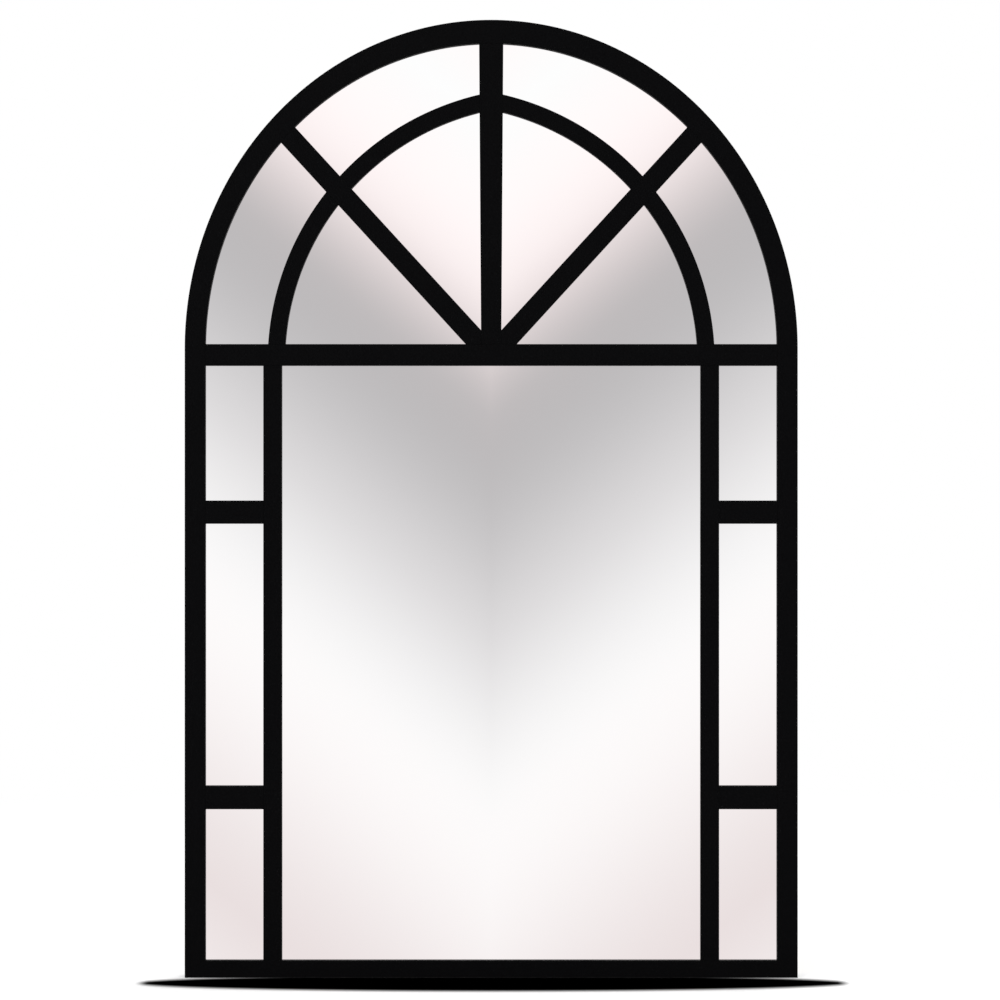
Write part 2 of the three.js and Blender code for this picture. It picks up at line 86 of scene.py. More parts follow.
def length(name, description, millimetres):
    return FloatProperty(
        name=name,
        description=description,
        default=millimetres * MILLIMETRE,
        min=0.0,
        precision=4,
        unit="LENGTH",
        subtype="DISTANCE",
    )


def angle(name, description, degrees):
    return FloatProperty(name=name, description=description, default=math.radians(degrees), subtype="ANGLE")


def colour(name, description, hex_colour):
    return FloatVectorProperty(
        name=name,
        description=description,
        default=linear(hex_colour),
        min=0.0,
        max=1.0,
        size=3,
        subtype="COLOR",
    )


class OuterFrameSizes(bpy.types.PropertyGroup):
    overall_width: length("Overall width", "Across the outer frame", 711)
    overall_height: length("Overall height", "From the base to the crown of the arch", 1111)
    depth: length("Depth", "From the front plane to the wall", 25)
    springing: length("Springing height", "Where the rails end and the elliptical arch begins", 730)
    rail_face: length("Rail face", "Width of the side rails seen from the front", 24)
    crown_face: length("Crown face", "Width of the rim at the top of the arch", 27.4)
    bottom_face: length("Bottom rail face", "Height of the bottom rail seen from the front", 20)
    face_thickness: length("Face thickness", "Thickness of the face and of every window bar", 4)
    return_thickness: length("Return thickness", "Thickness of the wall that runs back from the face", 3)
    fold_radius: length("Fold radius", "Outside radius of the fold between face and return", 1)
    root_fillet: length("Root fillet", "Radius in the inner corner of the L-section", 1.5)
    arris: length("Arris", "Rounding of the cut edges of face and bars", 0.45)


class WindowBarSizes(bpy.types.PropertyGroup):
    transom: length("Transom width", "Height of the bar across the springing", 25)
    transom_drop: length("Transom drop", "From the springing down to its centre line", 7.6)
    stile: length("Stile width", "Width of the two tall bars", 21.5)
    side_light: length("Side light", "Clear width between a side rail and a stile", 67.2)
    cross_bar: length("Cross bar width", "Height of the short bars", 27)
    lower_light: length("Lower light", "Clear height under the lower cross bars", 175.5)
    upper_light: length("Upper light", "Clear height over the upper cross bars", 156.4)
    centre_spoke_hub: length("Centre spoke at the hub", "Its width at the transom", 23.4)
    centre_spoke_crown: length("Centre spoke at the crown", "Its width at the top of the arch", 28.4)
    side_spoke: length("Side spoke width", "Width of the two sloping spokes", 24)
    side_spoke_angle: angle("Side spoke angle", "Above the horizontal", 47.5)
    hub_drop: length("Hub drop", "From the springing down to where the spokes' centre lines meet", 9.5)
    muntin: length("Muntin arch width", "Width of the smaller arch", 20)
    muntin_drop: length("Muntin arch drop", "From the springing down to the centres of its arcs", 15.2)
    outer_pane_width: length("Outer pane width", "From the rim to the smaller arch at the foot", 72.2)
    outer_pane_height: length("Outer pane height", "From the rim to the smaller arch at the crown", 56.4)


class SheetSizes(bpy.types.PropertyGroup):
    glass: length("Glass thickness", "Thickness of the mirror glass", 4)
    board: length("Board thickness", "Thickness of the backing board", 5)
    clearance: length("Edge clearance", "From the sheets to the return of the rim", 3)
    seat: length("Seating gap", "Between pieces that rest on each other", 0.3)
    glass_arris: length("Glass arris", "Ground edge of the glass", 0.5)
    board_arris: length("Board arris", "Sanded edge of the board", 0.6)
    block_length: length("Setting block length", "Length of the rubber blocks under the sheets", 60)
    block_groove: length("Block groove", "Depth of the grooves along the rubber blocks", 0.4)


class FixingTabSizes(bpy.types.PropertyGroup):
    thickness: length("Tab thickness", "Strip that the tabs are folded from", 2)
    reach: length("Tab reach", "From the return to the tip of the foot", 18)
    height: length("Tab height", "From the board to the top of the leg", 8)
    length: length("Tab length", "Along the rim", 24)
    bend: length("Tab bend", "Inside radius of the fold", 1.5)
    tip: length("Tab tip", "Radius of the corners of the foot", 3.5)
    screw_inset: length("Screw inset", "From the return to the screw", 11)
    lower_height: length("Lower tab height", "Above the base", 170)
    upper_drop: length("Upper tab drop", "Below the springing", 260)
    bottom_offset: length("Bottom tab offset", "From the centre line", 110)
    arch_low: angle("Low arch tab", "Round the arch from the springing", 24)
    arch_high: angle("High arch tab", "Round the arch from the springing", 66)


class TabScrewSizes(bpy.types.PropertyGroup):
    head_radius: length("Head radius", "Pan head of the tab screws", 3.5)
    head_height: length("Head height", "Pan head of the tab screws", 2.2)
    head_edge: length("Head edge", "Height of the head's rim, below its dome", 0.8)
    crest_radius: length("Crest radius", "Outside of the thread", 1.75)
    root_radius: length("Root radius", "Inside of the thread", 1.25)
    pitch: length("Pitch", "From crest to crest of the thread", 1.3)
    length: length("Screw length", "Below the head", 6)
    tip_radius: length("Tip radius", "Blunt end of the point", 0.8)
    tip_length: length("Tip length", "Length of the point", 1.8)
    recess_reach: length("Recess reach", "From the middle of the cross to the end of a slot", 2.1)
    recess_depth: length("Recess depth", "Depth of the cross", 1.4)


class StrapScrewSizes(bpy.types.PropertyGroup):
    head_radius: length("Head radius", "Pan head of the strap screws", 3.6)
    head_height: length("Head height", "Pan head of the strap screws", 2.4)
    head_edge: length("Head edge", "Height of the head's rim, below its dome", 0.9)
    crest_radius: length("Crest radius", "Outside of the thread", 2)
    root_radius: length("Root radius", "Inside of the thread", 1.65)
    pitch: length("Pitch", "From crest to crest of the thread", 0.7)
    length: length("Screw length", "Below the head", 4)
    tip_radius: length("Tip radius", "Chamfered end", 1.6)
    tip_length: length("Tip length", "Length of the chamfer", 0.4)
    recess_reach: length("Recess reach", "From the middle of the cross to the end of a slot", 2.2)
    recess_depth: length("Recess depth", "Depth of the cross", 1.5)


class HangerSizes(bpy.types.PropertyGroup):
    plate_thickness: length("Plate thickness", "Plate that is welded inside each side rail", 2.5)
    plate_reach: length("Plate reach", "From the return to the tip of the plate", 58)
    plate_length: length("Plate length", "Along the side rail", 62)
    plate_height: length("Plate height", "From the board to the top of its leg", 8.5)
    plate_bend: length("Plate bend", "Inside radius of the fold", 2)
    plate_tip: length("Plate tip", "Radius of its free corners", 6)
    inset: length("Hanger inset", "From the return to the middle of the strap", 40)
    ring_axis_drop: length("Ring axis drop", "Below the springing", 50)
    ring_axis_below_top: length("Ring axis below the plate's top", "Places the plate", 8)
    strap_thickness: length("Strap thickness", "Strip that the straps are rolled from", 1.2)
    strap_width: length("Strap width", "Width of the straps", 14)
    strap_length: length("Strap length", "From the ring's axis to the end of the tail", 42)
    strap_tail: length("Strap tail", "Radius of the corners of the tail", 5)
    strap_mouth: angle("Strap mouth", "Where the rolled eye ends, below the horizontal", 110)
    upper_screw: length("Upper screw", "Below the ring's axis", 23)
    lower_screw: length("Lower screw", "Below the ring's axis", 35)
    wire_radius: length("Wire radius", "Wire of the D-rings", 1.3)
    ring_half_width: length("Ring half width", "From the middle to the centre of the wire", 10.5)
    ring_drop: length("Ring drop", "From the ring's axis to the centre of the wire at the bottom", 16.5)
    ring_corner: length("Ring corner", "Bend of the wire beside the eye", 2.5)
    butt_gap: length("Butt gap", "Between the ends of the wire, inside the eye", 0.6)
    eye_clearance: length("Eye clearance", "Between the wire and the eye", 0.3)


class Finishes(bpy.types.PropertyGroup):
    coat: colour("Powder coat", "The black of the frame", "#020203")
    # A painted sheen: the humps of the orange peel are painted lighter, as if they caught more light.
    painted_coat_sheen: colour("Powder coat, high spots", "Where the grain catches a little more light", "#101011")
    silver: colour("Silvering", "Tint of the reflection", "#FBFBFB")
    glass_edge: colour("Glass edge", "Green of ground float glass", "#86A99A")
    glass_back: colour("Backing paint", "Paint over the silver", "#6F7675")
    board: colour("Board", "Pressed wood fibre", "#A98A63")
    board_fibre: colour("Board fibres", "Darker fibres and bark specks", "#74583A")
    board_pale: colour("Board, palest", "Where the skin was sanded most", "#BC9D76")
    board_edge: colour("Board edge", "Sawn edge, rougher and darker", "#8F6F4A")
    rubber: colour("Rubber", "Carbon-black rubber", "#232324")
    rubber_talc: colour("Rubber, talc", "Where talc clings to the rubber", "#4A4A49")
    zinc: colour("Zinc", "Bright zinc plating", "#C9CED3")
    zinc_blue: colour("Zinc, passivated", "The bluish film on the plating", "#AEB8C2")


class StageSettings(bpy.types.PropertyGroup):
    camera_distance: length("Camera distance", "From the camera to the front plane", 3000)
    camera_height: length("Camera height", "Above the base", 554.1)
    camera_side: length("Camera offset", "To the right of the centre line", 10.2)
    view_width: length("View width", "What the picture spans at the front plane", 1159.4)
    floor_radius: length("Floor radius", "Radius of the white floor", 2500)
    # The pool of shadow at the foot is painted on the floor, and these settings size it.
    shadow_half_width: length("Shadow half width", "Half the width of the pool of shadow at the foot", 412)
    shadow_half_depth: length("Shadow half depth", "Half its depth on the floor", 52)
    shadow_forward: length("Shadow forward", "From the front plane to the middle of the pool", 32)
    shadow_side: length("Shadow offset", "To the right of the centre line", 2)
    shadow_softness: length("Shadow softness", "Width of its blurred edge", 24)


class ArchedMirrorSettings(bpy.types.PropertyGroup):
    outer: PointerProperty(type=OuterFrameSizes)
    bars: PointerProperty(type=WindowBarSizes)
    sheets: PointerProperty(type=SheetSizes)
    tabs: PointerProperty(type=FixingTabSizes)
    tab_screws: PointerProperty(type=TabScrewSizes)
    strap_screws: PointerProperty(type=StrapScrewSizes)
    hangers: PointerProperty(type=HangerSizes)
    finishes: PointerProperty(type=Finishes)
    stage: PointerProperty(type=StageSettings)


def settings():
    return bpy.context.scene.arched_mirror


def worked_out():
    """The sizes that follow from the ones above."""
    outer, bars, sheets, hangers = settings().outer, settings().bars, settings().sheets, settings().hangers
    half_width = outer.overall_width / 2
    arch_rise = outer.overall_height - outer.springing
    opening_half = half_width - outer.rail_face
    opening_rise = arch_rise - outer.crown_face
    transom_top = outer.springing - bars.transom_drop + bars.transom / 2
    transom_bottom = transom_top - bars.transom
    muntin_foot = opening_half - bars.outer_pane_width
    muntin_centre = outer.springing - bars.muntin_drop
    muntin_rise = outer.springing + opening_rise - bars.outer_pane_height - muntin_centre
    muntin_offset = (muntin_rise ** 2 - muntin_foot ** 2) / (2 * muntin_foot)
    glass_front = outer.face_thickness + sheets.seat
    board_front = glass_front + sheets.glass + sheets.seat
    board_back = board_front + sheets.board
    plate_face = board_back + sheets.seat + hangers.plate_thickness
    eye_radius = hangers.wire_radius + hangers.eye_clearance + hangers.strap_thickness
    return SimpleNamespace(
        half_width=half_width,
        arch_rise=arch_rise,
        opening_half=opening_half,
        opening_rise=opening_rise,
        wall_half=half_width - outer.return_thickness,
        wall_rise=arch_rise - outer.return_thickness,
        transom_top=transom_top,
        transom_bottom=transom_bottom,
        stile_outer=opening_half - bars.side_light,
        hub=outer.springing - bars.hub_drop,
        muntin_centre=muntin_centre,
        muntin_offset=muntin_offset,
        muntin_radius=muntin_foot + muntin_offset,
        glass_front=glass_front,
        glass_back=glass_front + sheets.glass,
        board_front=board_front,
        board_back=board_back,
        plate_face=plate_face,
        eye_radius=eye_radius,
        ring_axis=outer.springing - hangers.ring_axis_drop,
        ring_depth=plate_face + sheets.seat + eye_radius,
        hanger_x=half_width - outer.return_thickness - hangers.inset,
    )


# ---------------------------------------------------------------------------
# Outlines in the plane of the frame: x to the right and z up, anticlockwise seen from the front.
# An outline is a list of (corner, free): free says that the edge that starts there is a cut edge of the
# steel, which gets a rounded arris. Other edges are joints, welded to the next bar and ground flush.
# ---------------------------------------------------------------------------


def free_outline(corners):
    return [(Vector(corner), True) for corner in corners]


def rectangle(left, right, bottom, top):
    return free_outline([(left, bottom), (right, bottom), (right, top), (left, top)])


def arc(centre, radii, start, end, steps):
    """Points round part of an ellipse."""
    (x, y), (across, up) = centre, radii
    turns = [start + (end - start) * step / steps for step in range(steps + 1)]
    return [(x + across * math.cos(turn), y + up * math.sin(turn)) for turn in turns]


def arched_outline(half_span, bottom, rise, steps=180):
    """Straight sides up to the springing, and half an ellipse on top of them."""
    springing = settings().outer.springing
    top = arc((0, springing), (half_span, rise), 0, math.pi, steps)
    return free_outline([(-half_span, bottom), (half_span, bottom), *top])


def mirrored(outline):
    """The same outline on the other side of the centre line, still anticlockwise."""
    turned = []
    for i in reversed(range(len(outline))):
        corner, free_before = outline[i][0], outline[i - 1][1]
        turned.append((Vector((-corner.x, corner.y)), free_before))
    return turned


def on_side(outline, side):
    return outline if side > 0 else mirrored(outline)


def inward(direction):
    """To the left of a direction, which is inwards from the edge of an anticlockwise outline."""
    return Vector((-direction.y, direction.x)).normalized()


def sawn(outline, point, keep):
    """What lies on the keep side of a line through a point; the cut becomes a joint."""
    kept = []
    for i, (corner, free) in enumerate(outline):
        following = outline[(i + 1) % len(outline)][0]
        here = (corner - point).dot(keep)
        there = (following - point).dot(keep)
        if here >= 0:
            kept.append((corner, free))
        if here * there < 0:
            crossing = corner.lerp(following, here / (here - there))
            kept.append((crossing, free and here < 0))
    return kept


def within(outline, field):
    """What of an outline lies inside a convex one."""
    corners = [corner for corner, _ in field]
    for corner, following in zip(corners, corners[1:] + corners[:1]):
        if (following - corner).length > SAME_CORNER:
            outline = sawn(outline, corner, inward(following - corner))
    return outline


def inset(outline, distance):
    """The corners of an outline drawn in by a distance from its free edges."""
    nearly_straight = 0.05
    moved = []
    for i, (corner, free) in enumerate(outline):
        before, free_before = outline[i - 1]
        after = outline[(i + 1) % len(outline)][0]
        first, second = inward(corner - before), inward(after - corner)
        in_first, in_second = distance * free_before, distance * free
        bend = first.cross(second)
        if abs(bend) < nearly_straight:
            step = (first * in_first + second * in_second) / 2
        else:
            across = in_first * second.y - in_second * first.y
            up = in_second * first.x - in_first * second.x
            step = Vector((across, up)) / bend
        moved.append(corner + step)
    return moved


def tidy(outline):
    """The outline without corners that fall on each other."""
    return [
        (corner, free)
        for i, (corner, free) in enumerate(outline)
        if (outline[(i + 1) % len(outline)][0] - corner).length > SAME_CORNER
    ]


def rounded(corners, steps=4):
    """A closed outline from (x, y, radius) corners."""
    outline = []
    for i, (x, y, radius) in enumerate(corners):
        corner = Vector((x, y))
        if radius == 0:
            outline.append(corner)
            continue
        to_before = (Vector(corners[i - 1][:2]) - corner).normalized()
        to_after = (Vector(corners[(i + 1) % len(corners)][:2]) - corner).normalized()
        half = to_before.angle(to_after) / 2
        centre = corner + (to_before + to_after).normalized() * radius / math.sin(half)
        reach = radius / math.tan(half)
        start = corner + to_before * reach - centre
        end = corner + to_after * reach - centre
        first = math.atan2(start.y, start.x)
        turn = (math.atan2(end.y, end.x) - first + math.pi) % math.tau - math.pi
        outline += [Vector(p) for p in arc(centre, (radius, radius), first, first + turn, steps)]
    return outline


# ---------------------------------------------------------------------------
# Skins and pieces
# ---------------------------------------------------------------------------


def loft(rings):
    """Points and faces of a closed skin over rings of equal count. Its two ends are the last two faces."""
    count = len(rings[0])
    points = [tuple(point) for ring in rings for point in ring]
    faces = []
    for here in range(0, len(points) - count, count):
        there = here + count
        for i in range(count):
            following = (i + 1) % count
            faces.append((here + i, here + following, there + following, there + i))
    faces.append(tuple(range(count)))
    faces.append(tuple(range(len(points) - count, len(points))))
    return points, faces


def plate_skin(outline, front, back, arris, steps=3):
    """A flat piece of the frame between two depths, with rounded arrises on its free edges."""
    outline = tidy(outline)
    middle = settings().outer.depth / 2
    turns = [QUARTER * step / steps for step in range(steps + 1)]
    levels = [(arris * (1 - math.sin(turn)), back - arris * (1 - math.cos(turn))) for turn in turns]
    levels += [(drawn_in, front + back - depth) for drawn_in, depth in reversed(levels)]
    rings = []
    for drawn_in, depth in levels:
        rings.append([(corner.x, depth - middle, corner.y) for corner in inset(outline, drawn_in)])
    return loft(rings)


def sweep(path, sections):
    """Rings of sections, each (to the left, along the third axis), along a path in the first two axes."""
    rings = []
    for i, (point, section) in enumerate(zip(path, sections)):
        left = inward(path[min(i + 1, len(path) - 1)] - path[max(i - 1, 0)])
        rings.append([(point.x + left.x * off, point.y + left.y * off, across) for off, across in section])
    return rings


def mesh_of(name, skin, finishes):
    """A mesh from points and faces, smooth but for its sharp edges and its two flat ends."""
    points, faces = skin
    mesh = bpy.data.meshes.new(name)
    mesh.from_pydata(points, [], faces)
    shape = bmesh.new()
    shape.from_mesh(mesh)
    bmesh.ops.recalc_face_normals(shape, faces=shape.faces)
    shape.to_mesh(mesh)
    shape.free()
    mesh.shade_smooth()
    mesh.set_sharp_from_angle(angle=SHARP)
    for end in mesh.polygons[-2:]:
        end.use_smooth = False
    for material in finishes:
        mesh.materials.append(material)
    return mesh


def shaped(mesh, *modifiers):
    """The mesh with modifiers applied, each given as (type, settings)."""
    holder = bpy.data.objects.new("shaping", mesh)
    bpy.context.scene.collection.objects.link(holder)
    for kind, values in modifiers:
        modifier = holder.modifiers.new(kind.title(), kind)
        for name, value in values.items():
            setattr(modifier, name, value)
    graph = bpy.context.evaluated_depsgraph_get()
    result = bpy.data.meshes.new_from_object(holder.evaluated_get(graph))
    result.name = mesh.name
    bpy.data.objects.remove(holder)
    bpy.data.meshes.remove(mesh)
    return result


def eased(width):
    """A modifier that rounds every sharp edge."""
    return "BEVEL", {"width": width, "segments": 2, "limit_method": "ANGLE", "angle_limit": SHARP}


def add_piece(name, mesh, place=None, body=BODY, stands_for=()):
    """One piece of the mirror: its place, its body and the nodes of the frame that it stands for."""
    piece = bpy.data.objects.new(name, mesh)
    bpy.context.scene.collection.objects.link(piece)
    if place is not None:
        piece.matrix_world = place
    even = piece.modifiers.new("Even shading", "WEIGHTED_NORMAL")
    even.keep_sharp = True
    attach(piece, body)
    if stands_for:
        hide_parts(*stands_for)


def axes_at(origin, first, second, third):
    """A placement from an origin and the directions of a piece's own three axes."""
    place = Matrix((first, second, third)).transposed().to_4x4()
    place.translation = origin
    return place


# ---------------------------------------------------------------------------
# Finishes
# ---------------------------------------------------------------------------


def set_inputs(tree, node, inputs):
    """Each input is a value, another node's output, or a node, whose first output is meant."""
    for name, given in inputs.items():
        if isinstance(given, bpy.types.Node):
            given = given.outputs[0]
        if isinstance(given, bpy.types.NodeSocket):
            tree.links.new(given, node.inputs[name])
        else:
            node.inputs[name].default_value = given


def add_node(tree, kind, inputs=None, stops=(), **attributes):
    """Adds a shader node with its inputs, its colour stops and its other settings."""
    made = tree.nodes.new(f"ShaderNode{kind}")
    for name, value in attributes.items():
        setattr(made, name, value)
    for index, (position, tone) in enumerate(stops):
        if index == len(made.color_ramp.elements):
            made.color_ramp.elements.new(1.0)
        made.color_ramp.elements[index].position = position
        made.color_ramp.elements[index].color = (*tone, 1.0)
    set_inputs(tree, made, inputs or {})
    return made


def per_metre(millimetres):
    """The scale at which a pattern repeats after a real size."""
    return 1 / (millimetres * MILLIMETRE)


def darker(tone, share):
    return tuple(share * channel for channel in tone)


def finish(paint):
    """The material that a function paints, made the first time that it is asked for."""
    name = paint.__name__
    material = bpy.data.materials.get(name)
    if material is None:
        material = bpy.data.materials.new(name)
        material.use_nodes = True
        tree = material.node_tree
        place = add_node(tree, "TexCoord").outputs["Object"]
        paint(tree, tree.nodes["Principled BSDF"], place, settings().finishes)
    return material


def black_powder_coated_steel(tree, shader, place, colours):
    """Polyester powder, sprayed and baked on steel: a deep black skin with a fine, rounded orange peel."""
    # The peel of a satin coat is about 0.9 mm from hump to hump.
    peel = add_node(tree, "TexNoise", {
        "Vector": place, "Scale": per_metre(0.9), "Detail": 2.0, "Roughness": 0.45,
    })
    # Flow marks from the oven, a few centimetres across, that shift the gloss slightly.
    flow = add_node(tree, "TexNoise", {
        "Vector": place, "Scale": per_metre(35), "Detail": 3.0, "Roughness": 0.5,
    })
    # The humps of the peel are painted a little lighter, a painted sheen on the grain.
    stops = [(0.42, colours.coat), (0.72, colours.painted_coat_sheen)]
    tone = add_node(tree, "ValToRGB", {"Fac": peel}, stops)
    gloss = add_node(tree, "MapRange", {
        "Value": flow, "From Min": 0.3, "From Max": 0.7, "To Min": 0.36, "To Max": 0.5,
    })
    relief = add_node(tree, "Bump", {"Height": peel, "Strength": 1.0, "Distance": 0.06 * MILLIMETRE})
    set_inputs(tree, shader, {
        "Base Color": tone,
        "Roughness": gloss,
        "Normal": relief,
        "IOR": 1.5,
        "Specular IOR Level": 0.03,
    })


def silvered_float_glass(tree, shader, place, colours):
    """Float glass over chemical silver: a sharp, nearly colourless reflection under a clear coat."""
    # Wiped glass keeps broad, very faint traces of the cloth, about 8 cm across.
    wiping = add_node(tree, "TexNoise", {
        "Vector": place, "Scale": per_metre(80), "Detail": 4.0, "Roughness": 0.55, "Distortion": 0.6,
    })
    haze = add_node(tree, "MapRange", {
        "Value": wiping, "From Min": 0.45, "From Max": 0.8, "To Min": 0.0, "To Max": 0.02,
    })
    set_inputs(tree, shader, {
        "Base Color": (*colours.silver, 1.0),
        "Metallic": 1.0,
        "Roughness": haze,
        "Coat Weight": 0.5,
        "Coat IOR": 1.52,
        "Coat Roughness": 0.0,
    })


def ground_glass_edge(tree, shader, place, colours):
    """Edge of float glass, ground with a wet belt: a frosted green with a fine grit."""
    # The belt's grit is drawn 0.6 mm across, coarser than it is, so that it shows.
    grit = add_node(tree, "TexNoise", {
        "Vector": place, "Scale": per_metre(0.6), "Detail": 3.0, "Roughness": 0.6,
    })
    stops = [(0.3, darker(colours.glass_edge, 0.8)), (0.7, colours.glass_edge)]
    tone = add_node(tree, "ValToRGB", {"Fac": grit}, stops)
    relief = add_node(tree, "Bump", {"Height": grit, "Strength": 1.0, "Distance": 0.02 * MILLIMETRE})
    set_inputs(tree, shader, {"Base Color": tone, "Normal": relief, "IOR": 1.52, "Roughness": 0.42})


def mirror_backing_paint(tree, shader, place, colours):
    """Grey paint curtain-coated over the silver: matt, with long faint streaks."""
    # The curtain leaves streaks about 6 mm apart and many times as long.
    stretched = add_node(tree, "Mapping", {"Vector": place, "Scale": (1.0, 1.0, 0.06)})
    streaks = add_node(tree, "TexNoise", {"Vector": stretched, "Scale": per_metre(6), "Detail": 3.0})
    stops = [(0.3, darker(colours.glass_back, 0.85)), (0.7, colours.glass_back)]
    tone = add_node(tree, "ValToRGB", {"Fac": streaks}, stops)
    relief = add_node(tree, "Bump", {"Height": streaks, "Strength": 0.6, "Distance": 0.02 * MILLIMETRE})
    set_inputs(tree, shader, {"Base Color": tone, "Normal": relief, "IOR": 1.5, "Roughness": 0.6})


def pressed_fibreboard(tree, shader, place, colours):
    """MDF with its pressed skin sanded: an even tan, flecked with fine fibres and darker specks of bark."""
    # Broad clouds where the mat was denser, about 9 cm across.
    clouds = add_node(tree, "TexNoise", {
        "Vector": place, "Scale": per_metre(90), "Detail": 3.0, "Roughness": 0.5,
    })
    # Fibre bundles about 1.8 mm across, matted in every direction.
    fibres = add_node(tree, "TexNoise", {
        "Vector": place, "Scale": per_metre(1.8), "Detail": 6.0, "Roughness": 0.75, "Distortion": 0.3,
    })
    # Bark specks about 4 mm apart, most of them too small to see.
    specks = add_node(tree, "TexVoronoi", {"Vector": place, "Scale": per_metre(4)})
    bark = add_node(tree, "MapRange", {
        "Value": specks, "From Min": 0.08, "From Max": 0.16, "To Min": 0.22, "To Max": 0.0,
    })
    mottle = add_node(tree, "Math", {0: clouds, 1: 0.35, 2: fibres}, operation="MULTIPLY_ADD")
    flecked = add_node(tree, "Math", {0: mottle, 1: bark}, operation="SUBTRACT")
    stops = [(0.35, colours.board_fibre), (0.62, colours.board), (0.9, colours.board_pale)]
    tone = add_node(tree, "ValToRGB", {"Fac": flecked}, stops)
    gloss = add_node(tree, "MapRange", {
        "Value": fibres, "From Min": 0.3, "From Max": 0.7, "To Min": 0.78, "To Max": 0.62,
    })
    relief = add_node(tree, "Bump", {"Height": fibres, "Strength": 0.7, "Distance": 0.08 * MILLIMETRE})
    set_inputs(tree, shader, {
        "Base Color": tone,
        "Roughness": gloss,
        "Normal": relief,
        "IOR": 1.5,
        "Specular IOR Level": 0.3,
    })


def sawn_fibreboard_edge(tree, shader, place, colours):
    """Sawn edge of MDF: darker, furry and layered, as the core is looser than the skins."""
    # Fibre ends about 0.8 mm across, flattened by the press to a quarter of that through the board.
    flattened = add_node(tree, "Mapping", {"Vector": place, "Scale": (1.0, 4.0, 1.0)})
    ends = add_node(tree, "TexNoise", {
        "Vector": flattened, "Scale": per_metre(0.8), "Detail": 4.0, "Roughness": 0.65,
    })
    stops = [(0.3, colours.board_fibre), (0.7, colours.board_edge)]
    tone = add_node(tree, "ValToRGB", {"Fac": ends}, stops)
    relief = add_node(tree, "Bump", {"Height": ends, "Strength": 1.0, "Distance": 0.12 * MILLIMETRE})
    set_inputs(tree, shader, {
        "Base Color": tone,
        "Normal": relief,
        "IOR": 1.5,
        "Roughness": 0.9,
        "Specular IOR Level": 0.2,
    })


def extruded_rubber(tree, shader, place, colours):
    """EPDM rubber, extruded and cut: matt near-black with a bloom of talc."""
    # Talc clings in patches about 3 mm across.
    talc = add_node(tree, "TexNoise", {
        "Vector": place, "Scale": per_metre(3), "Detail": 5.0, "Roughness": 0.6,
    })
    stops = [(0.45, colours.rubber), (0.8, colours.rubber_talc)]
    tone = add_node(tree, "ValToRGB", {"Fac": talc}, stops)
    relief = add_node(tree, "Bump", {"Height": talc, "Strength": 0.8, "Distance": 0.04 * MILLIMETRE})
    set_inputs(tree, shader, {
        "Base Color": tone,
        "Normal": relief,
        "IOR": 1.5,
        "Roughness": 0.75,
        "Specular IOR Level": 0.35,
    })


def bright_zinc_plate(tree, shader, place, colours):
    """Zinc, barrel-plated and passivated: a soft silver with bluish patches and tumbling scuffs."""
    # The passivated film drifts between silver and blue over about 5 mm.
    film = add_node(tree, "TexNoise", {
        "Vector": place, "Scale": per_metre(5), "Detail": 3.0, "Roughness": 0.5,
    })
    # Scuffs from the other pieces in the barrel, about 0.5 mm across.
    scuffs = add_node(tree, "TexNoise", {
        "Vector": place, "Scale": per_metre(0.5), "Detail": 3.0, "Roughness": 0.6,
    })
    stops = [(0.35, colours.zinc), (0.7, colours.zinc_blue)]
    tone = add_node(tree, "ValToRGB", {"Fac": film}, stops)
    gloss = add_node(tree, "MapRange", {
        "Value": scuffs, "From Min": 0.3, "From Max": 0.7, "To Min": 0.24, "To Max": 0.4,
    })
    relief = add_node(tree, "Bump", {"Height": scuffs, "Strength": 0.6, "Distance": 0.01 * MILLIMETRE})
    set_inputs(tree, shader, {"Base Color": tone, "Roughness": gloss, "Normal": relief, "Metallic": 1.0})


# ---------------------------------------------------------------------------
# Outer frame
# ---------------------------------------------------------------------------


def rim_section(face_width):
    """The folded L-section as (distance in from the outer edge, depth)."""
    outer = settings().outer
    wall, face, depth, arris = outer.return_thickness, outer.face_thickness, outer.depth, outer.arris
    return rounded([
        (0, 0, outer.fold_radius),
        (face_width, 0, arris),
        (face_width, face, arris),
        (wall, face, outer.root_fillet),
        (wall, depth, arris),
        (0, depth, arris),
    ])


def rim_arch_skin(steps=180):
    """The section carried round half an ellipse, broadening a little towards the crown."""
    outer, sizes = settings().outer, worked_out()
    wall = outer.return_thickness
    broadening = (outer.crown_face - wall) / (outer.rail_face - wall)
    rings = []
    for step in range(steps + 1):
        turn = math.pi * step / steps
        ring = []
        for distance, depth in rim_section(outer.rail_face):
            drop = distance if distance <= wall else wall + (distance - wall) * broadening
            x = (sizes.half_width - distance) * math.cos(turn)
            z = outer.springing + (sizes.arch_rise - drop) * math.sin(turn)
            ring.append((x, depth - outer.depth / 2, z))
        rings.append(ring)
    return loft(rings)


def side_rail_skin(side):
    """The section from the mitre at the foot up to the springing."""
    outer, sizes = settings().outer, worked_out()
    mitre = outer.bottom_face / outer.rail_face
    section = rim_section(outer.rail_face)
    foot, top = [], []
    for distance, depth in section:
        x, y = side * (sizes.half_width - distance), depth - outer.depth / 2
        foot.append((x, y, distance * mitre))
        top.append((x, y, outer.springing))
    return loft([foot, top])


def bottom_rail_skin():
    """The section from mitre to mitre."""
    outer, sizes = settings().outer, worked_out()
    mitre = outer.rail_face / outer.bottom_face
    section = rim_section(outer.bottom_face)
    return loft([
        [(side * (sizes.half_width - up * mitre), depth - outer.depth / 2, up) for up, depth in section]
        for side in (-1, 1)
    ])


